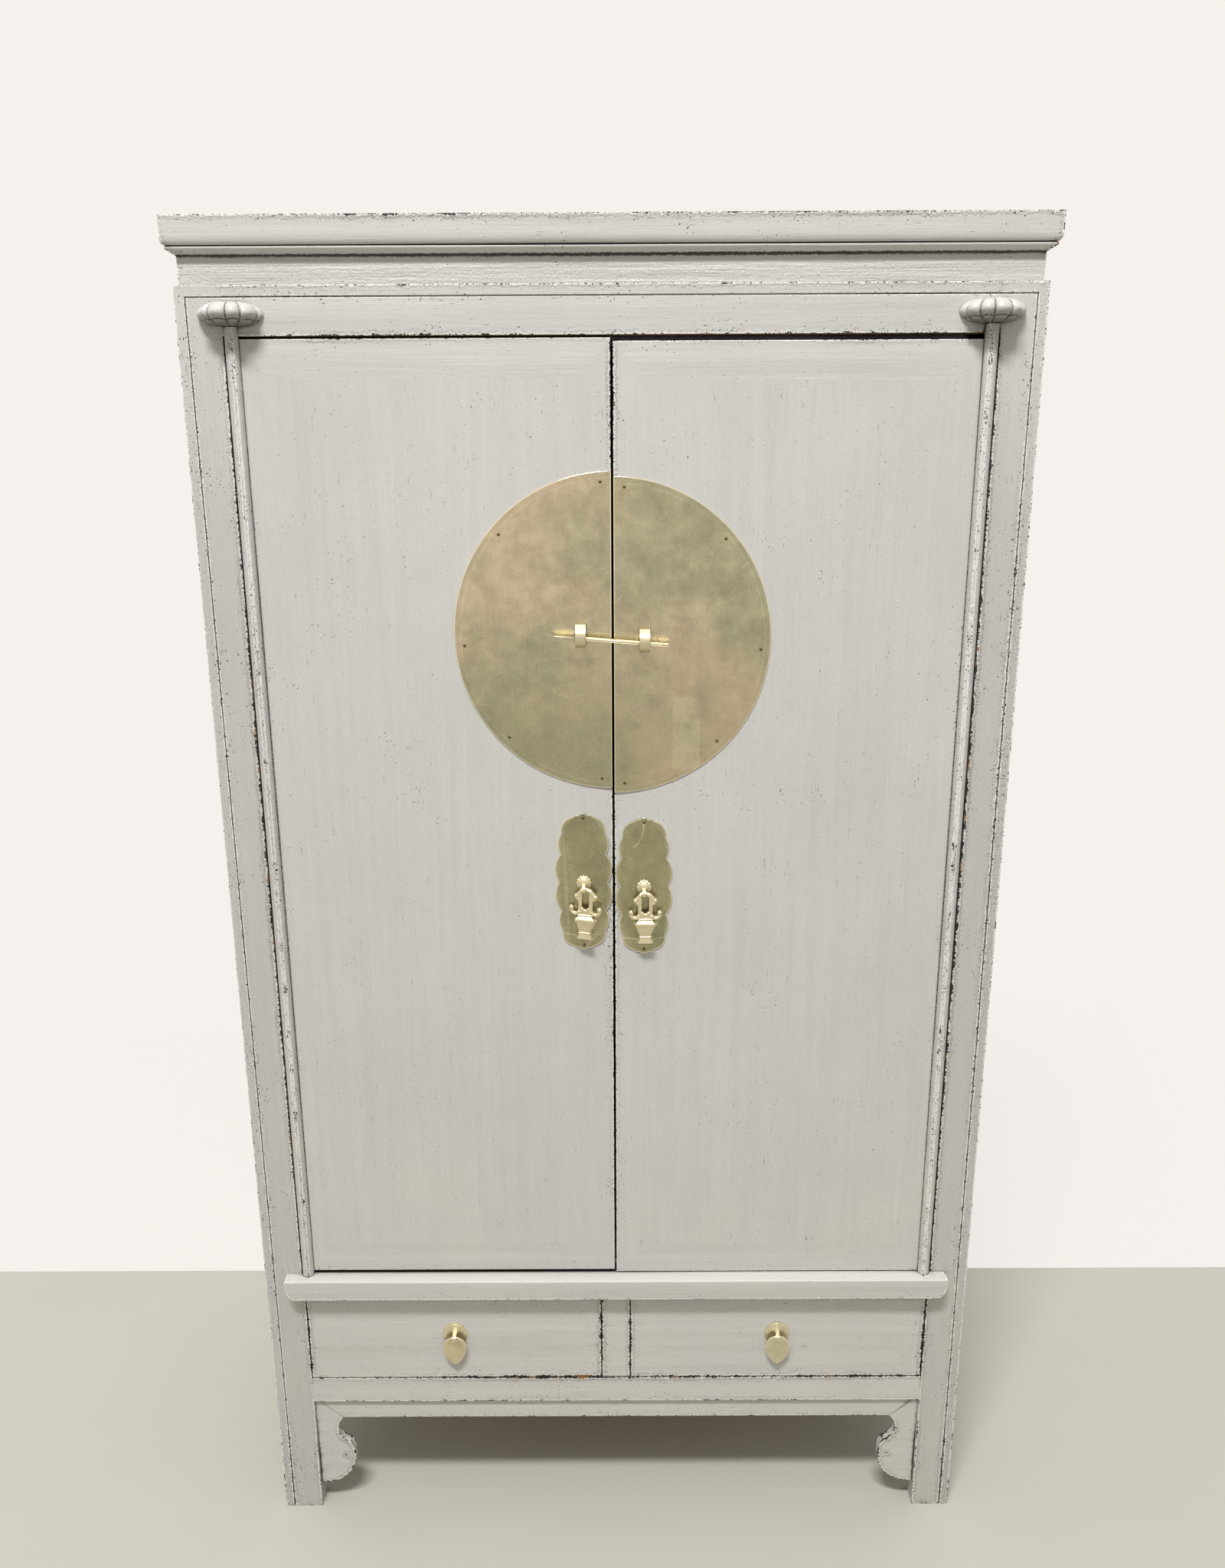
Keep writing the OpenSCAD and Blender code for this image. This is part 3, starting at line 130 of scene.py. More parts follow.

# Places where the lacquer has worn more, as x, z, half width and half height in mm, and an amount; more wear there also
# deepens the painted shade in corners
WORN_PLACES = [
    (-300, 1750, 75, 9, 0.3), (-190, 1750, 60, 9, 0.25), (-345, 1746, 30, 9, 0.2), (-60, 1750, 60, 9, 0.15),
    (305, 1746, 40, 9, 0.45), (378, 1748, 22, 8, 0.3), (455, 1746, 20, 9, 0.35), (120, 1747, 60, 8, 0.2),
    (60, 1804, 420, 4, 0.1), (0, 1792, 520, 7, -0.25), (500, 1690, 22, 120, -0.2), (-150, 1853, 130, 7, 0.25),
    (300, 1853, 100, 7, 0.2), (0, 408, 480, 5, 0.3),
    (-471, 1100, 7, 520, 0.55), (471, 1100, 7, 520, 0.6), (-447, 1000, 7, 500, 0.5), (447, 1000, 7, 600, 0.5),
    (500, 1100, 22, 500, 0.15), (0, 1600, 9, 130, 0.25),
    (0, 1785, 420, 12, -0.35), (0, 1839, 900, 6, 0.45), (0, 1850, 900, 5, 0.3),
    (-170, 242, 110, 8, 0.5), (-60, 244, 60, 8, 0.5), (-26, 310, 7, 60, 0.45), (-466, 310, 8, 60, 0.4),
    (100, 242, 90, 8, 0.4), (330, 242, 90, 8, 0.4), (466, 310, 8, 60, 0.45), (24, 310, 6, 60, 0.3),
    (-200, 199, 90, 8, 0.35), (200, 199, 110, 8, 0.3), (-500, 60, 60, 80, 0.25), (500, 60, 60, 90, 0.3),
    (-200, 1882, 150, 6, 0.3), (240, 1882, 160, 6, 0.3), (530, 1860, 12, 30, 0.2), (522, 1785, 10, 40, 0.2),
    (-430, 95, 30, 40, 0.4), (430, 95, 30, 40, 0.5), (0, 1690, 12, 50, 0.35), (0, 900, 8, 260, 0.25),
]

# Scribed arcs and long scratches: middle x and z, radius, half width, and the box they lie in, in mm
MOON_ARCS = [(0, 1385, 196, 0.25, -200, 0, 1180, 1590), (0, 1378.5, 196, 0.25, 0, 200, 1180, 1590)]
PULL_ARCS = [
    (-41, 1093, 122, 0.7, -72, -10, 960, 980), (41, 1086.5, 122, 0.7, 10, 72, 954, 974),
    (-0.5, 1127.5, 40.8, 0.9, 20, 60, 1098, 1132),
]
MOON_REFLECTION = (78, 114, 1207, 1303)  # mm, the sides, foot and top of a painted reflection on the moon plate
MOON_Z = 1382  # mm, the moon plate's middle

# How each basket hangs: its pivot in mm, its tilt and twist in degrees, and how far it has slipped along its bow
PULL_HANG = {"left": ((-41, -253.3, 1041.1), 2.5, 12, 3.5), "right": ((41, -253.3, 1034.6), 0, 0, 1.5)}
EYE_DROP, EYE_OUT = 6.0, 10.8  # mm, the pivot below the rosette's middle and before the plate
EYE_R, STRAP = 4.2, 1.4  # mm, the eye's inner radius and how thick its strap is

# The creases between each cap's petals, in degrees from straight ahead, and the cap's place in the wall, in mm
CAP_CREASES = {"left": (-100, -59, -33, 5, 33, 72, 100), "right": (-100, -70, -38, -10, 25, 54, 100)}
CAP_SET, CAP_TAIL_D = 2.7, 12.0
CAP_WORN = 0.75  # all over
CAP_TURNS, CAP_LEVELS, CAP_HALF_TURN = 150, 56, 96  # steps round and up, and degrees to each side

# The basket from its neck to its foot, in mm below the pivot: half width, half depth and the ribs' height
BASKET_LEVELS = (
    (-38.4, 12.6, 3.8, 0), (-39.1, 13.6, 4.5, 0), (-41.5, 16.6, 5.9, 0), (-43.2, 17.2, 6.0, 0), (-45.0, 16.2, 5.5, 0),
    (-45.9, 14.9, 4.7, 0), (-46.4, 14.6, 4.3, 0.8), (-59.6, 8.9, 3.0, 0.8), (-60.0, 9.0, 3.4, 0), (-60.5, 10.2, 4.2, 0),
    (-62.0, 10.2, 4.2, 0), (-62.6, 8.7, 3.7, 0), (-64.4, 9.3, 3.9, 0), (-69.4, 12.0, 4.6, 0), (-70.2, 11.8, 4.4, 0),
)


def linear(colour):
    """Linear RGBA of an sRGB hex colour such as "#c9c5bc"."""
    parts = [int(colour[i : i + 2], 16) / 255 for i in (1, 3, 5)]
    return (*[c / 12.92 if c <= 0.04045 else ((c + 0.055) / 1.055) ** 2.4 for c in parts], 1.0)


def add_node(tree, kind, *inputs, out=0, **named):
    """Adds a node with its settings and links, and returns one of its outputs.

    kind is a shader node unless it says otherwise, its second word an operation. inputs go to the sockets in their
    order, and named ones to the socket or the setting of that name; From and To are ranges. An output is linked."""
    kind, _, operation = kind.partition(" ")
    made = tree.nodes.new(kind if "Node" in kind else "ShaderNode" + kind)
    if operation:
        made.operation = operation
    values = {i: value for i, value in enumerate(inputs) if value is not None}
    for name, value in named.items():
        if name.islower():
            setattr(made, name, value)
        elif name in ("From", "To"):
            values[name + " Min"], values[name + " Max"] = value
        else:
            values[name.replace("_", " ")] = value
    for socket, value in values.items():
        if isinstance(value, bpy.types.NodeSocket):
            tree.links.new(value, made.inputs[socket])
        else:
            made.inputs[socket].default_value = value
    return made.outputs[out] if len(made.outputs) else made


def size(mm):
    """Texture scale whose features are about that many millimetres."""
    return 1000 / mm


def tint(name, description, default):
    """A colour property, from its sRGB hex value."""
    limits = {"subtype": "COLOR", "size": 4, "min": 0, "max": 1}
    return bpy.props.FloatVectorProperty(name=name, description=description, default=linear(default), **limits)


def length(name, description, default):
    """A length property, in metres."""
    return bpy.props.FloatProperty(name=name, description=description, default=default, unit="LENGTH")


class CabinetColours(bpy.types.PropertyGroup):
    lacquer: tint("Lacquer", "Grey lacquer, high up", "#cac8c4")
    lacquer_low: tint("Lower lacquer", "The same lacquer near the floor, yellowed", "#c6c3b9")
    chip: tint("Chips", "Old dark coat where the grey has come off", "#211f1c")
    rim: tint("Chip rims", "Pale primer round the chips and on rubbed edges", "#f1ede6")
    wood: tint("Bare wood", "Elm that shows in the deepest wear", "#a07a50")
    inside: tint("Inside", "Thin old wash on the boards inside", "#857b6c")
    inside_dark: tint("Inside, dark", "Grain of the washed boards", "#5d5346")
    elm: tint("Drawer wood", "Plain elm of the drawer boxes and runners", "#b08d62")
    elm_dark: tint("Drawer wood, dark", "Grain of the plain elm", "#8a6a45")
    plate: tint("Moon plate", "Tarnished sheet brass of the moon plate", "#afac8c")
    plate_warm: tint("Moon plate, warm", "Tan patches on the moon plate", "#cbbb9c")
    pull_plate: tint("Pull plates", "Tarnished sheet brass of the pull plates", "#9c9979")
    pull_warm: tint("Pull plates, warm", "Warmer patches on the pull plates", "#b0a886")
    drop: tint("Drawer pulls", "Brass of the drawer pulls", "#cdc7ab")
    drop_warm: tint("Drawer pulls, warm", "Warmer patches on the drawer pulls", "#d3c6a0")
    cast: tint("Cast brass", "Polished cast brass", "#e3d8b4")
    shine: tint("Bright brass", "Brass rubbed bright on rims and in scratches", "#fbf1d2")
    nail: tint("Nails", "Darkened brass of the nails", "#5f5638")
    lock: tint("Lock", "Dull brass of the lugs and the pin", "#d6cbaa")
    dirt_and_shade: tint("Dirt", "Dirt in the hollows of the brass", "#4f4728")
    floor: tint("Floor", "Studio floor", "#b7b4a9")
    wall: tint("Background", "Background behind the cabinet", "#f7f1ed")


class CabinetSizes(bpy.types.PropertyGroup):
    edge_round: length("Edge rounding", "Radius of a board's worn edge", 0.0007)
    brass_round: length("Plate rounding", "Radius of a brass plate's edge", 0.0008)
    chip_reach: length("Chip reach", "How far chips reach in from an edge at full wear", 0.0045)
    nail_head: length("Nail head", "Radius of a nail's head", 0.002)
    nail_dome: length("Nail dome", "Height of a nail's head", 0.0009)
    scallops: bpy.props.IntProperty(name="Scallops", description="Number of scallops round a rosette", default=12)


# Materials


def new_material(name):
    """An empty node material, what adds a node to it, and where each node finds its place on the cabinet."""
    material = bpy.data.materials.new(name)
    material.use_nodes = True
    material.node_tree.nodes.clear()
    add = partial(add_node, material.node_tree)
    return material, add, add("TexCoord", out="Object")


def finished(material, add, **sockets):
    """The material, with the main shader and the output at its end."""
    shader = add("BsdfPrincipled", **sockets)
    add("OutputMaterial", shader)
    return material


def laid_over(add, colour, *layers):
    """A colour with other tones laid over it, one after the other, each as strongly as its layer says.

    The mixing node's sockets for colours come after five others."""
    for strength, tone in layers:
        colour = add("Mix", strength, *[None] * 5, colour, tone, out=2, data_type="RGBA")
    return colour


def heights(add, first, *layers):
    """The sum of some patterns, each times its height in mm."""
    total = add("Math MULTIPLY", first[0], first[1])
    for layer, height in layers:
        total = add("Math MULTIPLY_ADD", layer, height, total)
    return total


def along_grain(along, amount):
    """Scales that draw a pattern out along one axis."""
    return [amount if axis == along else 1 for axis in "XYZ"]


def aged_lacquer(name, along, gloss=0.42, relief_mm=1.0, above=1.0, below=1.0):
    """Brushed lacquer over pale primer and an old dark coat on elm, worn through at the edges.

    It gives the eye a soft grey sheen with brush marks and pits, pale rubbed edges with a painted highlight, dark
    chips, painted shade with grime in corners and gaps, and a little bare wood.
    above and below are how light it is above 1.78 m and below 1.5 m."""
    colours, sizes = bpy.context.scene.cabinet_colours, bpy.context.scene.cabinet_sizes
    material, add, place = new_material(name)
    kinds = ("edge_mm", "seam_mm", "nook_mm", "worn", "shut")
    edge, seam, nook, worn, shut = (add("Attribute", out="Fac", attribute_name=kind) for kind in kinds)
    height_up = add("SeparateXYZ", place, out=2)

    # Clouds of slightly different grey, 160 mm across, and a warmer, darker grey towards the floor
    cloud = add("TexNoise", place, Scale=size(160), Detail=4.0, Roughness=0.55)
    low = add("MapRange", height_up, From=(1.7, 0.15))
    low = add("Math MULTIPLY_ADD", low, cloud, -0.25)
    grey = laid_over(add, colours.lacquer, (low, colours.lacquer_low))

    # Brush marks 1.6 mm wide and a hand's breadth long, over uneven wood
    brushed = add("Mapping", place, Scale=along_grain(along, 0.03))
    brush = add("TexNoise", brushed, Scale=size(3.2), Detail=4.0, Roughness=0.65)
    grain = add("TexNoise", brushed, Scale=size(14), Detail=5.0, Roughness=0.6)
    waves = add("TexNoise", brushed, Scale=size(45), Detail=1.0)
    marks = add("Math ADD", brush, grain)
    marks = add("MapRange", marks, From=(0.7, 1.3), To=(0.955, 1.035))
    mottled = add("MapRange", cloud, From=(0.3, 0.7), To=(0.96, 1.03))
    # Brightness by height: a painted sheen makes the glossy frieze lighter, and the posts get darker towards the floor
    lighter = add("MapRange", height_up, From=(1.78, 1.5), To=(above, below))
    mottled = add("Math MULTIPLY", mottled, lighter)
    shade = add("Math MULTIPLY", marks, mottled)
    grey = add("VectorMath SCALE", grey, Scale=shade)

    # Chips: how far they bite in from an edge, in mm, from bites 16 mm long, crumbs of 3 mm and the wear
    bites = add("TexNoise", place, Scale=size(16), Detail=2.0)
    crumbs = add("TexNoise", place, Scale=size(3), Detail=5.0, Roughness=0.65)
    reach = add("Math SUBTRACT", worn, 0.62)
    reach = add("Math MULTIPLY", reach, sizes.chip_reach / MM)
    for layer, spread in ((bites, 8.0), (crumbs, 15.0)):
        layer = add("Math SUBTRACT", layer, 0.5)
        reach = add("Math MULTIPLY_ADD", layer, spread, reach)
    depth = add("Math SUBTRACT", reach, edge)
    chip = add("MapRange", depth, From=(0.0, 0.2))
    # Pale rims round the chips: primer, and a painted highlight on their lips
    rim = add("MapRange", depth, From=(-1.8, -0.7), To_Max=0.9)
    flaking = add("MapRange", worn, From=(0.33, 0.75))
    crumbly = add("MapRange", depth, From=(-6.0, -1.5), To_Max=flaking)

    # A pale line on the edge itself, broken along its length: primer rubbed bare, and a painted highlight
    rub_and_highlight = add("MapRange", crumbs, From=(0.35, 0.65), To=(0.3, 1.9))
    rub_and_highlight = add("Math MULTIPLY_ADD", flaking, 1.8, rub_and_highlight)
    rub_and_highlight = add("Math SUBTRACT", rub_and_highlight, edge)
    rubbed = add("MapRange", worn, From=(0.1, 0.4), To=(0.1, 0.85))
    rub_and_highlight = add("MapRange", rub_and_highlight, From=(0.0, 0.5), To_Max=rubbed)

    # Pits: dark dots with pale rims, in drifts, drawn out along the brush marks, more of them near the edges
    drawn = add("Mapping", place, Scale=along_grain(along, 0.6))
    dots = add("TexVoronoi", drawn, Scale=size(3.6))
    dots = add("Math MULTIPLY_ADD", crumbs, 1.1, dots)
    dots = add("Math SUBTRACT", dots, 0.55)
    drift = add("TexNoise", place, Scale=size(70), Detail=4.0, Roughness=0.65)
    near = add("MapRange", edge, From=(1.0, 20.0), To=(0.2, 0.0))
    near = add("Math MULTIPLY_ADD", flaking, 0.06, near)
    drift = add("Math ADD", drift, near)
    drift = add("MapRange", drift, From=(0.5, 0.8), To_Max=0.2)
    pits = add("Math SUBTRACT", drift, dots)
    halo = add("MapRange", pits, From=(-0.08, -0.02), To_Max=0.5)
    some = add("Math GREATER_THAN", drift, 0.02)
    halo = add("Math MULTIPLY", halo, some)
    pits = add("MapRange", pits, From=(0.0, 0.03), To_Max=0.85)

    # Hairlines: thin dark dashes along the brush marks, a few centimetres long
    hairs = add("Mapping", place, Location=(0.31, 0.17, 0.23), Scale=along_grain(along, 0.08))
    hairs = add("TexNoise", hairs, Scale=size(1.6), Detail=2.0)
    hairs = add("Math MULTIPLY_ADD", drift, 0.35, hairs)
    hairs = add("MapRange", hairs, From=(0.735, 0.785), To_Max=0.5)

    # Dark marks: painted shade with grime in inner corners and grooves and where little light reaches, dirt in split
    # joints, and painted shade on faces that lie against another piece
    broken = add("MapRange", crumbs, From=(0.38, 0.58), To_Min=0.3)
    # Painted shade with grime along inner corners, reaching further where the lacquer is more worn
    darkening = add("MapRange", worn, From=(0.1, 0.9), To=(0.2, 2.1))
    corner_shade_and_dirt = add("Math SUBTRACT", darkening, nook)
    corner_shade_and_dirt = add("MapRange", corner_shade_and_dirt, From=(-0.2, 0.5), To_Max=0.95)
    corner_shade_and_dirt = add("Math MULTIPLY", corner_shade_and_dirt, broken)
    deep = add("MapRange", worn, From=(0.55, 0.8))
    wide = add("Math MULTIPLY", deep, broken)
    wide = add("Math MULTIPLY_ADD", wide, 3.0, 0.8)
    core_w = add("Math MULTIPLY", wide, 0.55)
    strong = add("Math MULTIPLY_ADD", deep, 0.75, 0.2)
    split = add("MapRange", seam, From=(core_w, wide), To=(strong, 0.0))
    # Painted shade with grime where ambient occlusion finds the surface hemmed in, stronger where it is more worn
    open_sky = add("AmbientOcclusion", Distance=11 * MM, out="AO", samples=6)
    occlusion_shade_and_dirt = add("Math MULTIPLY_ADD", worn, -0.4, open_sky)
    occlusion_shade_and_dirt = add("Math MULTIPLY_ADD", grain, 1.2, occlusion_shade_and_dirt)
    occlusion_shade_and_dirt = add("MapRange", occlusion_shade_and_dirt, From=(0.6, 1.0), To=(0.95, 0.0))
    unpainted = add("MapRange", shut, From=(-0.6, -0.4), To=(0.9, 0.0))
    # Painted shade, near black, on faces marked shut: across a narrow gap from another piece, and on the caps' lower
    # sides
    shut_shade = add("MapRange", shut, From=(0.4, 0.6), To_Max=0.88)

    # Bare wood only where the wear is deep
    bare = add("TexNoise", place, Scale=size(20), Detail=3.0)
    bare = add("Math MULTIPLY_ADD", worn, 0.22, bare)
    bare = add("MapRange", bare, From=(0.76, 0.8), To_Max=0.9)
    core = laid_over(add, colours.chip, (bare, colours.wood))
    # The pale layers are primer with a painted highlight on the edges; among the dark layers, and on shut faces, the
    # dark coat's colour also paints shade
    pale = [(spot, colours.rim) for spot in (rub_and_highlight, halo, rim)]
    black = [(spot, colours.chip) for spot in (hairs, occlusion_shade_and_dirt, corner_shade_and_dirt, pits, split)]
    colour = laid_over(add, grey, *pale, *black, (chip, core), (shut_shade, colours.chip), (unpainted, colours.wood))

    # Heights in millimetres: chips a third of a millimetre deep, pits, brush marks and the plane's uneven strokes
    flaky = add("Math MULTIPLY", crumbly, crumbs)
    relief = heights(
        add, (chip, -0.35), (pits, -0.3), (split, -0.2), (hairs, -0.15), (flaky, 2.0), (crumbs, 0.4 * relief_mm),
        (brush, 0.26 * relief_mm), (grain, 0.8 * relief_mm), (waves, 3.5),
    )
    bump = add("Bump", Height=relief, Distance=MM, Strength=0.85)

    rough = add("MapRange", cloud, From=(0.3, 0.7), To=(gloss + 0.08, gloss - 0.06))
    rough = add("Math MULTIPLY_ADD", chip, 0.35, rough, use_clamp=True)
    return finished(material, add, Base_Color=colour, Roughness=rough, Normal=bump, IOR=1.5)


def plain_wood(name, colour, dark, along):
    """Sawn elm, dry and unpolished.

    It gives the eye long brown grain lines with open pores and no shine."""
    material, add, place = new_material(name)
    laid = add("Mapping", place, Scale=along_grain(along, 0.06))
    wavy = {"Detail": 5.0, "Roughness": 0.62, "Distortion": 0.6}
    rings = add("TexNoise", laid, Scale=size(28), **wavy)
    pores = add("TexNoise", laid, Scale=size(2.4), Detail=3.0)
    grime = add("TexNoise", place, Scale=size(120), Detail=3.0)
    rings = add("MapRange", rings, From=(0.35, 0.65))
    tone = laid_over(add, dark, (rings, colour))
    pores = add("MapRange", pores, From=(0.3, 0.5), To=(0.72, 1.0))
    grime = add("MapRange", grime, From=(0.3, 0.7), To=(0.82, 1.06))
    shade = add("Math MULTIPLY", pores, grime)
    tone = add("VectorMath SCALE", tone, Scale=shade)
    bump = add("Bump", Height=pores, Distance=0.3 * MM, Strength=0.6)
    return finished(material, add, Base_Color=tone, Roughness=0.72, Normal=bump)


def drawn_arc(add, place, arc):
    """How strongly a scribed arc shows: its middle, radius and half width, and the box it lies in, in mm."""
    x, z, radius, half_w, *box = arc
    flat = add("VectorMath MULTIPLY", place, (1, 0, 1))
    away = add("VectorMath DISTANCE", flat, (x * MM, 0, z * MM), out="Value")
    away = add("Math SUBTRACT", away, radius * MM)
    away = add("Math ABSOLUTE", away)
    line = add("MapRange", away, From=(0.3 * half_w * MM, half_w * MM), To=(1.0, 0.0))
    return add("Math MULTIPLY", line, inside_box(add, place, box))


def inside_box(add, place, box):
    """One inside an upright box, given in mm, and nought outside."""
    x_lo, x_hi, z_lo, z_hi = box
    inside = None
    for i, lo, hi in ((0, x_lo, x_hi), (2, z_lo, z_hi)):
        part = add("SeparateXYZ", place, out=i)
        part = add("Math COMPARE", part, (lo + hi) / 2 * MM, (hi - lo) / 2 * MM)
        inside = part if inside is None else add("Math MULTIPLY", inside, part)
    return inside


def sheet_brass(name, tone, warm, rough_mid=0.4, arcs=(), reflection_box=None, sheen_middle=None):
    """Rolled sheet brass, brushed up and down long ago and tarnished since.

    It gives the eye a dull olive gold with warmer patches, fine scratches, a painted highlight along its rim, and
    painted shade with grime round what stands on it.
    arcs are scribed lines, reflection_box is a box holding a painted reflection, sheen_middle is the height in mm of
    the middle of a turned disc's painted sheen."""
    colours = bpy.context.scene.cabinet_colours
    material, add, place = new_material(name)
    edge = add("Attribute", out="Fac", attribute_name="edge_mm")
    patches = add("TexNoise", place, Scale=size(90), Detail=7.0, Roughness=0.66)
    # A painted sheen of a turned disc: warmer and paler in two opposite quarters about its middle
    if sheen_middle:
        x, z = (add("SeparateXYZ", place, out=i) for i in (0, 2))
        z = add("Math SUBTRACT", z, sheen_middle * MM)
        turned = add("Math MULTIPLY", x, z)
        patches = add("Math MULTIPLY_ADD", turned, -9.0, patches)
    patches = add("MapRange", patches, From=(0.38, 0.66))
    tone = laid_over(add, tone, (patches, warm))
    stains = add("TexNoise", place, Scale=size(34), Detail=8.0, Roughness=0.72)
    stains = add("MapRange", stains, From=(0.3, 0.7), To=(0.76, 1.18))
    laid = add("Mapping", place, Scale=(1, 1, 0.03))
    brush = add("TexNoise", laid, Scale=size(1.5), Detail=3.0)
    lines = add("MapRange", brush, From=(0.35, 0.65), To=(0.97, 1.03))
    shade = add("Math MULTIPLY", stains, lines)
    tone = add("VectorMath SCALE", tone, Scale=shade)

    # Scratches half a millimetre wide, in three directions, gathered in places
    scratch = None
    for turn, width in ((0.5, 1.0), (-0.75, 1.4), (1.35, 1.1)):
        turned = add("Mapping", place, Rotation=(0, turn, 0))
        turned = add("Mapping", turned, Scale=(1, 1, 0.05))
        streak = add("TexNoise", turned, Scale=size(width), Detail=1.0)
        streak = add("MapRange", streak, From=(0.69, 0.78), To_Max=0.55)
        scratch = streak if scratch is None else add("Math MAXIMUM", scratch, streak)
    sparse = add("TexNoise", place, Scale=size(50), Detail=3.0)
    sparse = add("MapRange", sparse, From=(0.42, 0.58))
    scratch = add("Math MULTIPLY", scratch, sparse)
    flecks = add("TexNoise", place, Scale=size(5), Detail=6.0, Roughness=0.7)
    flecks = add("MapRange", flecks, From=(0.58, 0.75), To_Max=0.35)
    scratch = add("Math MAXIMUM", scratch, flecks)
    layers = [(scratch, colours.cast)]
    worn_off = add("MapRange", stains, From=(0.85, 1.1), To=(0.25, 0.9))
    for arc in arcs:
        layers.append((add("Math MULTIPLY", drawn_arc(add, place, arc), worn_off), colours.shine))
    # A painted reflection: a ragged box of paler brass
    if reflection_box:
        ragged = add("TexNoise", place, Scale=size(6), Detail=3.0, out="Color")
        ragged = add("VectorMath MULTIPLY_ADD", ragged, (0.006, 0.006, 0.006), place)
        ragged = add("VectorMath SUBTRACT", ragged, (0.003, 0.003, 0.003))
        kept = add("Math MULTIPLY", inside_box(add, ragged, reflection_box), worn_off)
        layers.append((add("Math MULTIPLY", kept, 0.6), colours.cast))
    # Painted shade with grime where fittings, nails and edges hem the plate in
    open_sky = add("AmbientOcclusion", Distance=3 * MM, out="AO", samples=6)
    contact_shade_and_dirt = add("MapRange", open_sky, From=(0.3, 0.7), To=(0.8, 0.0))
    # A painted highlight along the plate's rim, which is also a little smoother there
    bright = add("MapRange", edge, From=(0.4, 1.5), To=(0.9, 0.0))
    tone = laid_over(add, tone, *layers, (contact_shade_and_dirt, colours.dirt_and_shade), (bright, colours.shine))

    relief = heights(add, (stains, 0.3), (brush, 0.03))
    bump = add("Bump", Height=relief, Distance=MM, Strength=0.6)
    rough = add("MapRange", stains, From=(0.84, 1.08), To=(rough_mid + 0.07, rough_mid - 0.07))
    rough = add("Math MULTIPLY_ADD", bright, -0.1, rough)
    return finished(material, add, Base_Color=tone, Metallic=0.9, Roughness=rough, Normal=bump)


def cast_brass(name, tone):
    """Sand-cast brass, polished by hands on its high points, with grime in its hollows.

    It gives the eye pale gold highlights over soft lumps, and brown green hollows."""
    colours = bpy.context.scene.cabinet_colours
    material, add, place = new_material(name)
    open_sky = add("AmbientOcclusion", Distance=3 * MM, out="AO", samples=8)
    grit = add("TexNoise", place, Scale=size(1.6), Detail=3.0)
    lumps = add("TexNoise", place, Scale=size(6), Detail=3.0)
    hollow = add("Math MULTIPLY_ADD", lumps, 0.25, open_sky)
    hollow = add("MapRange", hollow, From=(0.46, 1.02), To=(0.88, 0.0))
    tone = laid_over(add, tone, (hollow, colours.dirt_and_shade))
    relief = heights(add, (grit, 0.05), (lumps, 0.2))
    bump = add("Bump", Height=relief, Distance=MM, Strength=0.7)
    rough = add("MapRange", hollow, To=(0.38, 0.65))
    return finished(material, add, Base_Color=tone, Metallic=0.95, Roughness=rough, Normal=bump)


def seen_directly(add):
    """One for what the camera sees, also mirrored or through glass, and nought for light on its way to the cabinet."""
    camera, gloss, glass = (add("LightPath", out="Is %s Ray" % kind) for kind in ("Camera", "Glossy", "Transmission"))
    seen = add("Math MAXIMUM", camera, gloss)
    return add("Math MAXIMUM", seen, glass)


def studio_floor(name):
    """Pale painted floor, whose far part takes the background's colour.

    It gives the eye a plain ground with the cabinet's soft shadow."""
    colours = bpy.context.scene.cabinet_colours
    material, add, place = new_material(name)
    x, y = (add("SeparateXYZ", place, out=i) for i in (0, 1))
    cloud = add("TexNoise", place, Scale=size(400), Detail=3.0)
    cloud = add("MapRange", cloud, To=(0.97, 1.03))
    tone = add("VectorMath SCALE", tuple(colours.floor)[:3], Scale=cloud)
    ground = add("BsdfDiffuse", tone)
    glow = add("Emission", colours.wall, 1.0)
    pale = add("BsdfDiffuse", linear("#d8d4cf"))
    faint = add("MixShader", 0.72, pale, glow)
    far_x = add("Math ABSOLUTE", x)
    far = add("Math MAXIMUM", y, far_x)
    far = add("MapRange", far, From=(0.7, 1.8))
    faint = add("MixShader", far, faint, glow)
    beyond = add("Math GREATER_THAN", y, WALL_Y)
    beyond = add("Math MULTIPLY", beyond, seen_directly(add))
    surface = add("MixShader", beyond, ground, faint)
    add("OutputMaterial", surface)
    return material


# Copies of the boards with rounded edges and the distances that the wear and the painted shade need


def merged_copy(node):
    """A merged copy of a CAD node, with its flat faces made whole."""
    bm = bmesh.new()
    bm.from_mesh(NODES[node].data)
    bmesh.ops.remove_doubles(bm, verts=bm.verts, dist=SAME_PLACE)
    bmesh.ops.dissolve_limit(bm, angle_limit=FLAT, verts=bm.verts, edges=bm.edges)
    return bm


def cut_all(bm, **plane):
    """Cuts everything in bm along a plane."""
    bmesh.ops.bisect_plane(bm, geom=bm.verts[:] + bm.edges[:] + bm.faces[:], **plane)


def mesh_from(bm, name):
    """A mesh from bm, which isn't needed any more."""
    mesh = bpy.data.meshes.new(name)
    bm.to_mesh(mesh)
    bm.free()
    return mesh


def is_corner(edge, outward=True):
    """True for an edge that stands out, or lies in, between two faces."""
    return len(edge.link_faces) == 2 and edge.is_convex == outward and edge.calc_face_angle(0) > CORNER


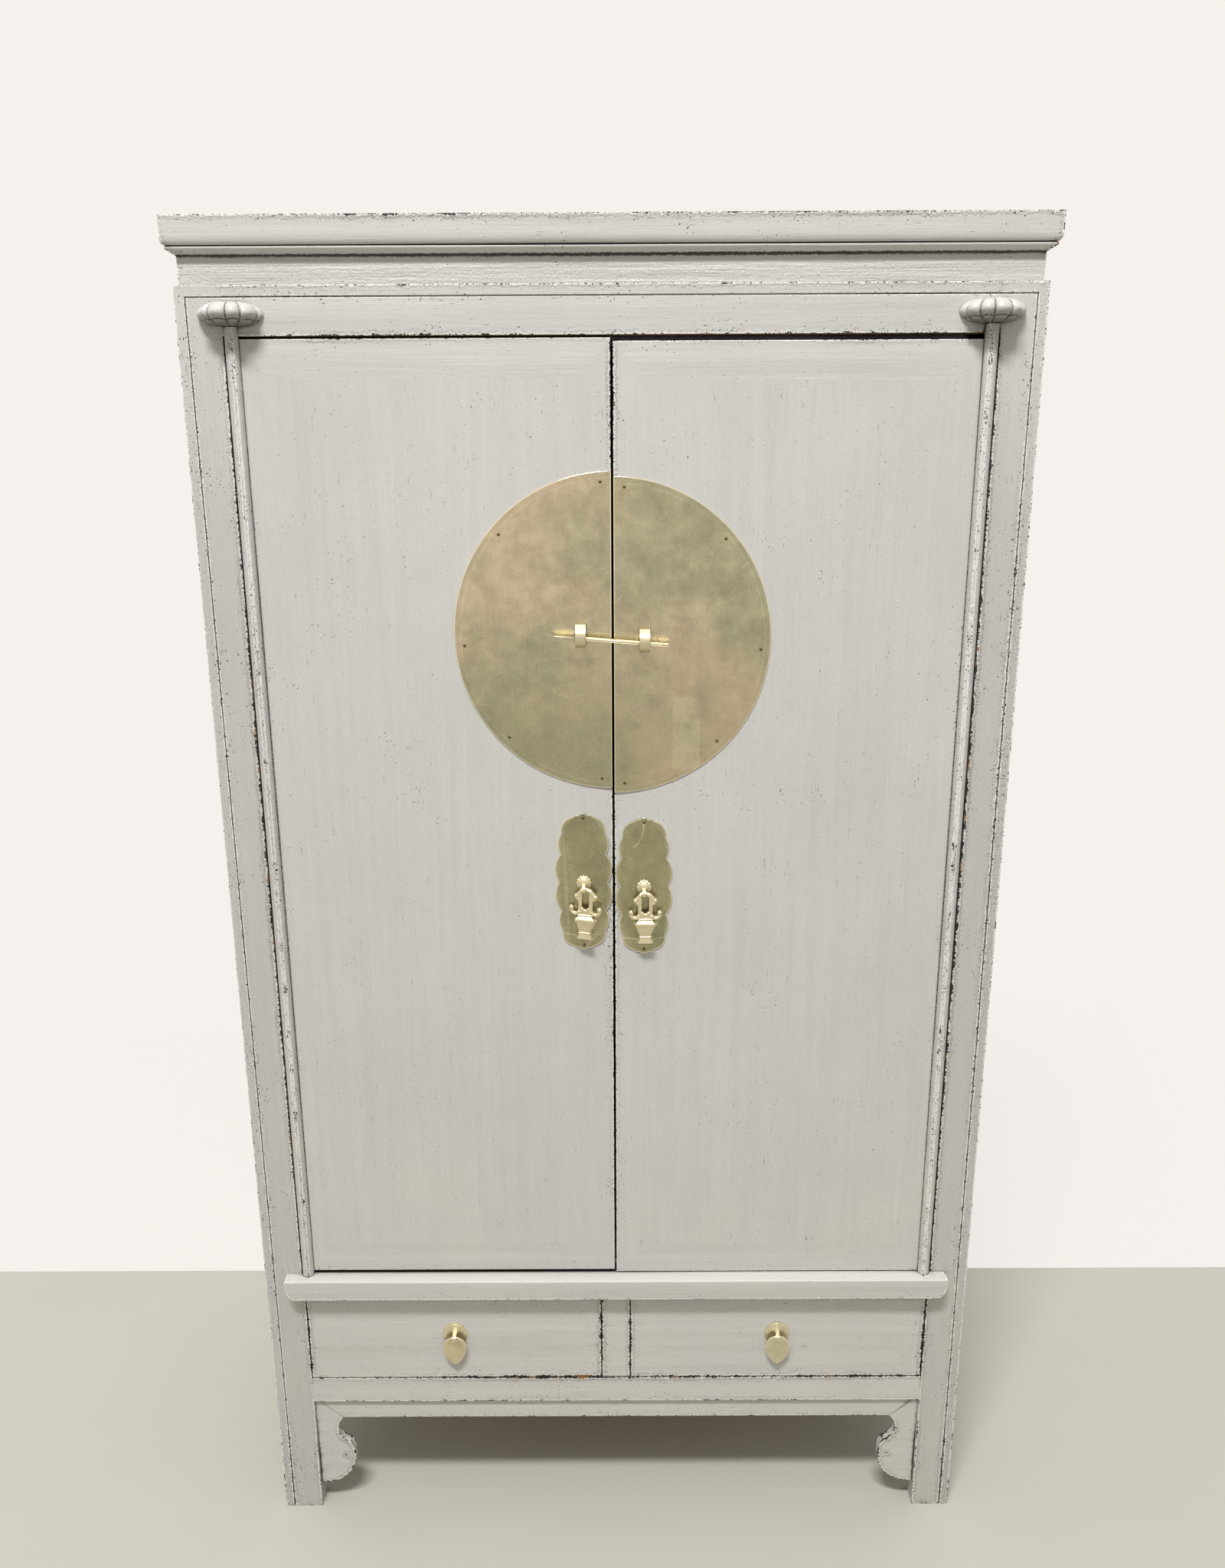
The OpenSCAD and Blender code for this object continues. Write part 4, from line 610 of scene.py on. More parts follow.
def cut_places(bm, axis, spacing):
    """Where to cut a board across one axis: beside its long edges, and at even steps between."""
    totals = {}
    for edge in bm.edges:
        a, b = (v.co[axis] for v in edge.verts)
        if abs(a - b) < 1e-6 and is_corner(edge):
            key = round(a, 5)
            totals[key] = totals.get(key, 0) + edge.calc_length()
    features = sorted(sorted(totals, key=totals.get)[-MOST_EDGES:])
    features = [f for f in features if totals[f] > LEAST_LENGTH]
    values = [v.co[axis] for v in bm.verts]
    lo, hi = min(values), max(values)
    places = [f + s * d * MM for f in features for s in (-1, 1) for d in BESIDE_EDGE]
    steps = int((hi - lo) / spacing)
    places += [lo + (hi - lo) * i / (steps + 1) for i in range(1, steps + 1)]
    places = [p for p in places if lo + MM < p < hi - MM and all(abs(p - f) > CLEAR_OF_EDGE * MM for f in features)]
    kept = []
    for p in sorted(places):
        if not kept or p - kept[-1] > BETWEEN_CUTS * MM:
            kept.append(p)
    return kept


def neighbours(node, reach=MM, among=NODES):
    """Search trees of the nodes whose boxes come within reach of this one."""
    lo, hi = BOXES[node]
    trees = []
    for other, (o_lo, o_hi) in BOXES.items():
        meets = all(o_lo[i] - reach < hi[i] and lo[i] - reach < o_hi[i] for i in range(3))
        if other != node and other in among and meets:
            if other not in TREES:
                mesh = NODES[other].data
                TREES[other] = BVHTree.FromPolygons([v.co for v in mesh.vertices], [p.vertices for p in mesh.polygons])
            trees.append(TREES[other])
    return trees


def touches(point, trees):
    """True where one of the search trees has a surface at the point."""
    return any(tree.find_nearest(point, TOUCH)[0] is not None for tree in trees)


def is_shut(face, trees):
    """True for a face that looks at another piece across a narrow gap."""
    start = face.calc_center_median() + face.normal * 0.05 * MM
    return any(tree.ray_cast(start, face.normal, NARROW)[0] is not None for tree in trees)


def distance_to(points, lines):
    """Distance in mm from each point to the nearest of the lines, at most FAR."""
    best = np.full(len(points), FAR)
    for a, b in lines:
        a, b = np.array(a), np.array(b)
        run = b - a
        part = np.clip((points - a) @ run / max(run @ run, 1e-12), 0, 1)
        best = np.minimum(best, np.linalg.norm(points - a - part[:, None] * run, axis=1) / MM)
    return best


def wear_at(points, base):
    """How worn each point is, from the places where the photograph shows it."""
    worn = np.full(len(points), base)
    for x, z, wide, high, amount in WORN_PLACES:
        away = np.hypot((points[:, 0] / MM - x) / wide, (points[:, 2] / MM - z) / high)
        worn += amount * np.exp(-away * away)
    return worn


def mark(mesh, domain, **marks):
    """Stores the wear and the painted-shade marks on a mesh, for its material."""
    for name, values in marks.items():
        mesh.attributes.new(name, "FLOAT", domain).data.foreach_set("value", np.asarray(values, np.float32))


def place_piece(mesh, suffix, node):
    """Puts a finished piece in the scene in the place of its CAD node."""
    piece = bpy.data.objects.new(node + suffix, mesh)
    bpy.context.scene.collection.objects.link(piece)
    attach(piece, NODES[node]["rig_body"])
    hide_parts(node)


def worn_board(node, material, rounding, base=0.3, *, spacing=EVEN_STEP, cut=True, band=0.0, joints=True):
    """A board's visible copy: cut finely near its edges, rounded, and marked with the distances to edges and joints.

    band makes a loop of faces just inside a plate's outline, for its rim."""
    bm = merged_copy(node)
    if cut:
        for axis in range(3):
            across = Vector([axis == i for i in range(3)])
            for place in cut_places(bm, axis, spacing):
                cut_all(bm, dist=1e-6, plane_co=place * across, plane_no=across)
    if band:
        front = [f for f in bm.faces if f.normal.y < -0.99]
        bmesh.ops.inset_region(bm, faces=front, thickness=band, use_even_offset=True)
    for face in bm.faces:
        bends = [e.calc_face_angle(0) for e in face.edges if len(e.link_faces) == 2]
        face.smooth = any(BEND < bend < CORNER for bend in bends)
    nook_lines = [tuple(v.co.copy() for v in e.verts) for e in bm.edges if is_corner(e, outward=False)]
    near = neighbours(node)
    open_edges, split_edges = [], []
    for edge in bm.edges:
        if is_corner(edge):
            middle = (edge.verts[0].co + edge.verts[1].co) / 2
            (split_edges if touches(middle, near) else open_edges).append(edge)
    open_lines = [tuple(v.co.copy() for v in e.verts) for e in open_edges]
    joint_lines = [tuple(v.co.copy() for v in e.verts) for e in split_edges if joints]
    bevel = {"offset_type": "OFFSET", "segments": 2, "profile": 0.5, "affect": "EDGES", "clamp_overlap": True}
    rounded = bmesh.ops.bevel(bm, geom=open_edges, offset=rounding, **bevel)
    for face in rounded["faces"]:
        face.smooth = True
    # Faces that look at another piece across a narrow gap are marked for painted shade
    across_gap = neighbours(node, NARROW, POSTS + UPRIGHT + LEVEL + GLOSSY + DEEP)
    shut = [SHUT if is_shut(face, across_gap) else OPEN for face in bm.faces]
    # The top rail was never painted underneath, and the drawer rail's top takes the light
    for i, face in enumerate(bm.faces):
        if face.normal.z < -0.5 and node == "front_top_rail":
            shut[i] = UNPAINTED
        elif face.normal.z > 0.5 and node == "drawer_rail":
            shut[i] = OPEN
    smooth = [face.smooth for face in bm.faces]
    mesh = mesh_from(bm, node + "_board")
    points = np.zeros(len(mesh.vertices) * 3)
    mesh.vertices.foreach_get("co", points)
    points = points.reshape(-1, 3)
    edge_mm, seam_mm, nook_mm = (distance_to(points, lines) for lines in (open_lines, joint_lines, nook_lines))
    mark(mesh, "POINT", edge_mm=edge_mm, seam_mm=seam_mm, nook_mm=nook_mm, worn=wear_at(points, base))
    mark(mesh, "FACE", shut=shut)
    mesh.set_sharp_from_angle(angle=SHARP)
    mesh.polygons.foreach_set("use_smooth", smooth)
    mesh.materials.append(material)
    place_piece(mesh, "_board", node)


def dress(node, material):
    """Gives a CAD node its material."""
    NODES[node].data.materials.clear()
    NODES[node].data.materials.append(material)


# Shapes for the castings, in mm about the fitting's own middle, cut into so many sides and points

TUBE_SIDES, ARC_POINTS, EYE_SIDES, BASKET_RIBS = 14, 14, 40, 16


def bowed_tube(bm, points, radii):
    """A closed round rod through points that lie in an upright plane."""
    rings = []
    for i, (point, radius) in enumerate(zip(points, radii)):
        before, after = Vector(points[max(i - 1, 0)]), Vector(points[min(i + 1, len(points) - 1)])
        across = (after - before).normalized().cross(Vector((0, 1, 0)))
        angles = [2 * math.pi * k / TUBE_SIDES for k in range(TUBE_SIDES)]
        round_it = [math.cos(a) * across + math.sin(a) * Vector((0, 1, 0)) for a in angles]
        rings.append([bm.verts.new(Vector(point) + radius * out) for out in round_it])
    skin_rings(bm, rings)


def skin_rings(bm, rings):
    """Faces between rings of equal length, with both ends closed."""
    for low, high in zip(rings, rings[1:]):
        for k in range(len(low)):
            n = (k + 1) % len(low)
            bm.faces.new((low[k], low[n], high[n], high[k]))
    bm.faces.new(rings[0][::-1])
    bm.faces.new(rings[-1])


def ball(bm, centre, radius, squash=(1, 1, 1)):
    """A ball, squashed along its axes."""
    place = Matrix.Translation(centre) @ Matrix.Diagonal((*squash, 1.0))
    bmesh.ops.create_uvsphere(bm, u_segments=24, v_segments=16, radius=radius, matrix=place)


def block(bm, lo, hi):
    """A box between two corners."""
    middle = [(a + b) / 2 for a, b in zip(lo, hi)]
    sides = [b - a for a, b in zip(lo, hi)]
    bmesh.ops.create_cube(bm, size=1.0, matrix=Matrix.Translation(middle) @ Matrix.Diagonal((*sides, 1.0)))


def arc_points(x, z, radius, start, end):
    """Points of an arc in an upright plane, by angles in degrees."""
    turns = [math.radians(start + (end - start) * i / (ARC_POINTS - 1)) for i in range(ARC_POINTS)]
    return [(x + radius * math.cos(t), 0.0, z + radius * math.sin(t)) for t in turns]


def basket_ring(bm, z, half_w, half_d, ribs):
    """One level of the basket: six sides, its long faces ribbed."""
    flat, n = 0.78 * half_w, BASKET_RIBS
    front = [(flat * (2 * i / n - 1), -half_d - ribs * (i % 2)) for i in range(n + 1)]
    back = [(x, -y) for x, y in reversed(front)]
    outline = [(-half_w, 0.0), *front, (half_w, 0.0), *back]
    return [bm.verts.new((x, y, z)) for x, y in outline]


def fused(name, bm, place, voxel):
    """The overlapping solids in bm, given in mm, fused into one skin and put in their place."""
    bm.transform(place @ Matrix.Diagonal((MM, MM, MM, 1.0)))
    bmesh.ops.recalc_face_normals(bm, faces=bm.faces)
    mesh = mesh_from(bm, name + "_solids")
    solids = bpy.data.objects.new(name + "_solids", mesh)
    bpy.context.scene.collection.objects.link(solids)
    fuse = solids.modifiers.new("fuse", "REMESH")
    fuse.mode, fuse.voxel_size, fuse.use_smooth_shade = "VOXEL", voxel * MM, True
    smooth = solids.modifiers.new("soften", "SMOOTH")
    smooth.factor, smooth.iterations = 0.5, 2
    graph = bpy.context.evaluated_depsgraph_get()
    skin = bpy.data.meshes.new_from_object(solids.evaluated_get(graph))
    skin.name = name
    bpy.data.objects.remove(solids)
    bpy.data.meshes.remove(mesh)
    return skin


def node_result(tree, mesh, inputs):
    """The plain mesh that a node tree makes of a mesh."""
    carrier = bpy.data.objects.new("carrier", mesh)
    bpy.context.scene.collection.objects.link(carrier)
    modifier = carrier.modifiers.new("nodes", "NODES")
    modifier.node_group = tree
    for socket in tree.interface.items_tree:
        if socket.item_type == "SOCKET" and socket.in_out == "INPUT" and socket.name in inputs:
            modifier[socket.identifier] = inputs[socket.name]
    carrier.update_tag()
    result = bpy.data.meshes.new_from_object(carrier.evaluated_get(bpy.context.evaluated_depsgraph_get()))
    bpy.data.objects.remove(carrier)
    return result


def domes_tree(name, on_ring):
    """A node tree that sets a dome on each point of its mesh, or on a ring of its own."""
    tree = bpy.data.node_groups.new(name, "GeometryNodeTree")
    add = partial(add_node, tree)
    for socket, kind in (
        ("Points", "Geometry"), ("Dome radius", "Float"), ("Dome height", "Float"),
        ("Ring radius", "Float"), ("Count", "Int"), ("Metal", "Material"),
    ):
        tree.interface.new_socket(socket, in_out="INPUT", socket_type="NodeSocket" + kind)
    tree.interface.new_socket("Domes", in_out="OUTPUT", socket_type="NodeSocketGeometry")
    given = tree.nodes.new("NodeGroupInput").outputs
    points = given["Points"]
    if on_ring:
        points = add("GeometryNodeMeshCircle", Vertices=given["Count"], Radius=given["Ring radius"])
        points = add("GeometryNodeTransform", points, Rotation=(math.pi / 2, 0, 0))
    dome = add("GeometryNodeMeshUVSphere", Segments=20, Rings=12, Radius=1.0)
    squash = add("CombineXYZ", given["Dome radius"], given["Dome height"], given["Dome radius"])
    set_out = add("GeometryNodeInstanceOnPoints", points, Instance=dome, Scale=squash)
    plain = add("GeometryNodeRealizeInstances", set_out)
    plain = add("GeometryNodeSetShadeSmooth", plain)
    plain = add("GeometryNodeSetMaterial", plain, Material=given["Metal"])
    add("NodeGroupOutput", plain)
    return tree


# Carved and cast shapes


def clipped(value):
    """The value, kept between nought and one."""
    return max(0.0, min(1.0, value))


def carved_cap(node, creases):
    """A lotus cap: swelling petals between creases, sepals under them, and the CAD cap's own tail in the rail."""
    lo, hi = BOXES[node]
    tail = merged_copy(node)
    wall = max(v.co.y for v in tail.verts) - CAP_TAIL_D * MM
    middle = Vector(((lo[0] + hi[0]) / 2, wall + CAP_SET * MM, (lo[2] + hi[2]) / 2))
    reach, half_h = (hi[0] - lo[0]) / 2 - 0.2 * MM, (hi[2] - lo[2]) / 2 - 0.1 * MM
    cut_all(tail, plane_co=(0, wall + 0.02 * MM, 0), plane_no=(0, -1, 0), clear_outer=True)
    bmesh.ops.holes_fill(tail, edges=tail.edges)
    mesh = mesh_from(tail, node + "_tail")

    bm = bmesh.new()
    bm.from_mesh(mesh)
    tail_count = len(bm.verts)
    nook, shut, grid = [], [], []
    for i in range(CAP_TURNS + 1):
        turn = CAP_HALF_TURN * (2 * i / CAP_TURNS - 1)
        left = max(c for c in creases if c <= turn)
        right = min(c for c in creases if c > turn)
        part = (turn - left) / (right - left)
        swell = math.sqrt(max(1 - (1.94 * part - 0.97) ** 2, 0.0))
        to_crease = min(turn - left, right - turn)
        column = []
        for j in range(1, CAP_LEVELS):
            tip = math.radians(-90 + 180 * j / CAP_LEVELS)
            width = math.cos(tip) ** 0.62
            lift = math.sin(tip)
            out = reach * width * (1 - 0.2 * (1 - swell) * width)
            up = half_h * (abs(lift) ** 1.12) * math.copysign(1, lift) * (0.93 + 0.07 * swell)
            # The sepals: a lower edge that rises in an arch under each petal
            arch = -0.78 + 0.2 * swell
            to_arch = abs(lift - arch) * half_h / MM
            out -= 1.6 * MM * math.exp(-((to_arch / 1.3) ** 2)) * width
            out += 0.8 * MM * clipped((arch - lift) * 8) * width
            a = math.radians(turn)
            point = middle + Vector((out * math.sin(a), -out * math.cos(a), up))
            point.y = min(point.y, wall)
            column.append(bm.verts.new(point))
            # The creases and the sepals' arch get painted shade with grime, and the cap's lower side gets painted shade
            # that deepens towards its foot
            arc_mm = math.radians(to_crease) * out / MM
            nook.append(min(arc_mm * 1.5 + 0.3, to_arch * 1.7 + 0.3, FAR))
            shut.append(0.4 + 0.1 * clipped((-0.05 - lift) * 2.2) + 0.06 * clipped((-0.7 - lift) * 6))
        grid.append(column)
    foot, crown = (bm.verts.new(middle + Vector((0, 0, s * half_h * 0.93))) for s in (-1, 1))
    for end in (foot, crown):
        end.co.y = min(end.co.y, wall)
        nook.append(1.0)
        shut.append(0.4)
    for a, b in zip(grid, grid[1:]):
        bm.faces.new((foot, b[0], a[0]))
        bm.faces.new((crown, a[-1], b[-1]))
        for j in range(CAP_LEVELS - 2):
            bm.faces.new((a[j], b[j], b[j + 1], a[j + 1]))
    bm.faces.new([foot, *grid[0], crown, *reversed(grid[-1])])
    bmesh.ops.recalc_face_normals(bm, faces=bm.faces)
    for face in bm.faces:
        of_cap = all(v.index < 0 or v.index >= tail_count for v in face.verts)
        face.smooth = len(face.verts) < 5 and of_cap
    bm.to_mesh(mesh)
    bm.free()
    count = len(mesh.vertices)
    nook = np.concatenate([np.full(tail_count, FAR), nook])
    shut = np.concatenate([np.zeros(tail_count), shut])
    far = np.full(count, FAR)
    mark(mesh, "POINT", edge_mm=far, seam_mm=far, nook_mm=nook, worn=np.full(count, CAP_WORN), shut=shut)
    return mesh


def nail_places(node):
    """The middles of the nails' heads, on the plates' faces."""
    bm = merged_copy(node)
    groups, seen = [], set()
    for vert in bm.verts:
        if vert in seen:
            continue
        group, queue = [], [vert]
        seen.add(vert)
        while queue:
            one = queue.pop()
            group.append(one.co.copy())
            for edge in one.link_edges:
                other = edge.other_vert(one)
                if other not in seen:
                    seen.add(other)
                    queue.append(other)
        groups.append(group)
    dome = bpy.context.scene.cabinet_sizes.nail_dome
    places = []
    for group in groups:
        lo, hi = ([pick(v[i] for v in group) for i in range(3)] for pick in (min, max))
        places.append(((lo[0] + hi[0]) / 2, lo[1] + dome, (lo[2] + hi[2]) / 2))
    bm.free()
    return places


def rosette(node):
    """A scalloped dome with the eye's strap below it, fused into one casting."""
    sizes = bpy.context.scene.cabinet_sizes
    lo, hi = BOXES[node]
    middle_x = (lo[0] + hi[0]) / 2
    radius = (hi[0] - lo[0]) / 2 / MM
    top_z, plate_y = hi[2], hi[1]
    place = Matrix.Translation((middle_x, plate_y, top_z - radius * MM))
    lobe = 3.4
    empty = bpy.data.meshes.new(node + "_ring")
    tree = domes_tree("Rosette scallops", on_ring=True)
    ring = {"Dome radius": lobe, "Dome height": 3.2, "Ring radius": radius + 0.25 - lobe, "Count": sizes.scallops}
    beads = node_result(tree, empty, ring)
    bm = bmesh.new()
    bm.from_mesh(beads)
    ball(bm, (0, 0, 0), radius - 1.4, (1, 0.6, 1))
    inner, outer, half_w = EYE_R, EYE_R + STRAP, 2.5
    block(bm, (-half_w, -EYE_OUT, -EYE_DROP + inner), (half_w, 0, -EYE_DROP + outer))
    rings = []
    for k in range(EYE_SIDES):
        a = 2 * math.pi * k / EYE_SIDES
        corners = ((-half_w, inner), (half_w, inner), (half_w, outer), (-half_w, outer))
        rings.append([bm.verts.new((x, -EYE_OUT + r * math.cos(a), -EYE_DROP + r * math.sin(a))) for x, r in corners])
    for a, b in zip(rings, rings[1:] + rings[:1]):
        for k in range(4):
            n = (k + 1) % 4
            bm.faces.new((a[k], a[n], b[n], b[k]))
    return fused(node + "_skin", bm, place, 0.35)


def basket_pull(node, at, tilt, twist, shift):
    """A basket under a knotted bow, with a window between its stems and a scroll at each side."""
    bm = bmesh.new()
    half = [(7.07 * i / 8, 0.0, -2.9 * (i / 8) ** 3.2) for i in range(9)]
    for i in range(1, 6):
        half.append((7.07 + 6.13 * i / 5, 0.0, -2.9 - 6.3 * i / 5))
    bow = [(-x, y, z) for x, y, z in reversed(half[1:])] + half
    knots = ((6.2, 1.7, 0.8), (10.2, 1.2, 0.5))
    swell = [sum(high * math.exp(-(((abs(x) - at_x) / wide) ** 2)) for at_x, wide, high in knots) for x, _, _ in bow]
    bowed_tube(bm, bow, [3.0 + more for more in swell])
    for s in (-1, 1):
        ball(bm, (s * 13.0, 0, -9.2), 3.9)
        ball(bm, (s * 10.9, 0, -12.9), 3.1)
        block(bm, (min(s * 4.9, s * 10.0), -2.3, -39), (max(s * 4.9, s * 10.0), 2.3, -5.5))
        block(bm, (min(s * 4.9, s * 11), -2.1, -14.4), (max(s * 4.9, s * 11), 2.1, -11.4))
        scroll = arc_points(s * 13.9, -28.6, 5.9, 270 - s * 75, 270 + s * 92)
        bowed_tube(bm, scroll, [3.2 - 0.5 * i / (ARC_POINTS - 1) for i in range(ARC_POINTS)])
        ball(bm, (s * 19.4, -0.4, -26.4), 3.6)
        ball(bm, (s * 4.5, -0.6, -26.9), 2.5)
    bowed_tube(bm, [(x, -0.7, z) for x, _, z in arc_points(0, -24.6, 5.0, 218, 322)], [2.4] * ARC_POINTS)
    block(bm, (-9.2, -2.0, -39), (9.2, 2.0, -29.5))
    block(bm, (-10.4, -3.0, -39.5), (10.4, 3.0, -35.2))
    skin_rings(bm, [basket_ring(bm, *level) for level in BASKET_LEVELS])
    turn = Matrix.Rotation(math.radians(-twist), 4, "Z") @ Matrix.Rotation(math.radians(tilt), 4, "Y")
    place = Matrix.Translation([c * MM for c in at]) @ turn @ Matrix.Translation((shift * MM, 0, 0))
    return fused(node + "_skin", bm, place, 0.4)


# Operators: one for each group of like pieces


class CABINET_OT_carcass(bpy.types.Operator):
    """Make the posts, rails, mouldings, panels, doors and drawer fronts"""

    bl_idname = "cabinet.carcass"
    bl_label = "Carcass and doors"

    def execute(self, context):
        rounding = context.scene.cabinet_sizes.edge_round
        upright = aged_lacquer("Aged grey lacquer, brushed upright", "Z")
        level = aged_lacquer("Aged grey lacquer, brushed level", "X")
        # The frieze's lacquer is made lighter by a painted sheen
        glossy = aged_lacquer("Aged grey lacquer, thick and glossy", "X", gloss=0.22, relief_mm=4.0, above=1.08)
        deep = aged_lacquer("Aged grey lacquer, brushed to the back", "Y")
        # The posts' lacquer gets darker towards the floor
        darkening = aged_lacquer("Aged grey lacquer, grimy posts", "Z", below=0.89)
        for names, material in ((POSTS, darkening), (UPRIGHT, upright), (LEVEL, level), (GLOSSY, glossy), (DEEP, deep)):
            for node in names:
                amount = 2.5 if node == "drawer_rail" else 0.4 if "panel" in node else 1
                worn_board(
                    node, material, rounding * amount, BASE_WEAR.get(node, USUAL_WEAR),
                    spacing=FINE_STEP if "bracket" in node else EVEN_STEP,
                    joints="door_" not in node or node == "door_sill_rail",
                )
        return {"FINISHED"}


class CABINET_OT_inside(bpy.types.Operator):
    """Give the boards inside and behind their wood"""

    bl_idname = "cabinet.inside"
    bl_label = "Inside"

    def execute(self, context):
        colours = context.scene.cabinet_colours
        washed = plain_wood("Washed elm, inside boards", colours.inside, colours.inside_dark, "X")
        washed_up = plain_wood("Washed elm, back boards", colours.inside, colours.inside_dark, "Z")
        elm = plain_wood("Bare elm, lengthwise", colours.elm, colours.elm_dark, "Y")
        elm_across = plain_wood("Bare elm, crosswise", colours.elm, colours.elm_dark, "X")
        for node in ("cupboard_floor", "shelf", "shelf_battens", "back_rails", "top_panel"):
            dress(node, washed)
        dress("back_panels", washed_up)
        for node in ("drawer_runners", "drawer_kickers", "left_drawer_box", "right_drawer_box"):
            dress(node, elm)
        for node in ("left_drawer_bottom", "right_drawer_bottom", "left_door_battens", "right_door_battens"):
            dress(node, elm_across)
        return {"FINISHED"}


class CABINET_OT_caps(bpy.types.Operator):
    """Carve the two lotus caps over the doors' upper pivots"""

    bl_idname = "cabinet.caps"
    bl_label = "Lotus caps"

    def execute(self, context):
        carved = aged_lacquer("Aged grey lacquer, carved", "X", gloss=0.32)
        for side, creases in CAP_CREASES.items():
            node = "lotus_cap_" + side
            mesh = carved_cap(node, creases)
            mesh.materials.append(carved)
            place_piece(mesh, "_carved", node)
        return {"FINISHED"}


class CABINET_OT_plates(bpy.types.Operator):
    """Make the round moon plate's halves and the two scalloped pull plates"""

    bl_idname = "cabinet.plates"
    bl_label = "Brass plates"

    def execute(self, context):
        rounding = context.scene.cabinet_sizes.brass_round
        colours = context.scene.cabinet_colours
        moon = sheet_brass(
            "Sheet brass, tarnished moon plate", colours.plate, colours.plate_warm, 0.27, MOON_ARCS, MOON_REFLECTION, MOON_Z
        )
        pull = sheet_brass("Sheet brass, tarnished pull plates", colours.pull_plate, colours.pull_warm, 0.29, PULL_ARCS)
        for side in SIDES:
            worn_board(side + "_moon_plate", moon, rounding, cut=False, band=1.5 * MM)
            worn_board(side + "_pull_plate", pull, rounding, cut=False, band=1.3 * MM)
        return {"FINISHED"}


class CABINET_OT_nails(bpy.types.Operator):
    """Set the nails' domed heads on the plates"""

    bl_idname = "cabinet.nails"
    bl_label = "Nails"

    def execute(self, context):
        sizes, colours = context.scene.cabinet_sizes, context.scene.cabinet_colours
        metal = cast_brass("Brass nails, darkened", colours.nail)
        tree = domes_tree("Nail heads", on_ring=False)
        for side in SIDES:
            node = side + "_door_nails"
            places = bpy.data.meshes.new(node + "_places")
            places.from_pydata(nail_places(node), [], [])
            inputs = {"Dome radius": sizes.nail_head, "Dome height": sizes.nail_dome, "Metal": metal}
            heads = node_result(tree, places, inputs)
            place_piece(heads, "_heads", node)
        return {"FINISHED"}


class CABINET_OT_lock(bpy.types.Operator):
    """Make the two lugs and the lock pin"""

    bl_idname = "cabinet.lock"
    bl_label = "Lock"

    def execute(self, context):
        rounding = context.scene.cabinet_sizes.brass_round
        cast = cast_brass("Cast brass, lock", context.scene.cabinet_colours.lock)
        for node in ("left_lock_lug", "right_lock_lug", "lock_pin"):
            worn_board(node, cast, rounding, cut=False)
        return {"FINISHED"}


class CABINET_OT_baskets(bpy.types.Operator):
    """Make the basket pulls with their scalloped rosettes"""

    bl_idname = "cabinet.baskets"
    bl_label = "Basket pulls"

    def execute(self, context):
        cast = cast_brass("Cast brass, polished by use", context.scene.cabinet_colours.cast)
        for side in SIDES:
            eye, pendant = side + "_pull_eye", side + "_basket_pendant"
            for node, mesh in ((eye, rosette(eye)), (pendant, basket_pull(pendant, *PULL_HANG[side]))):
                mesh.materials.clear()
                mesh.materials.append(cast)
                place_piece(mesh, "_cast", node)
        return {"FINISHED"}


class CABINET_OT_drawer_pulls(bpy.types.Operator):
    """Make the discs and drops of the drawer pulls"""

    bl_idname = "cabinet.drawer_pulls"
    bl_label = "Drawer pulls"

    def execute(self, context):
        rounding = context.scene.cabinet_sizes.brass_round
        colours = context.scene.cabinet_colours
        metal = sheet_brass("Sheet brass, drawer pulls", colours.drop, colours.drop_warm, 0.36)
        for side in SIDES:
            worn_board(side + "_drawer_rose", metal, rounding, cut=False, band=1.0 * MM)
            worn_board(side + "_drawer_drop", metal, rounding, cut=False, band=1.2 * MM)
        return {"FINISHED"}


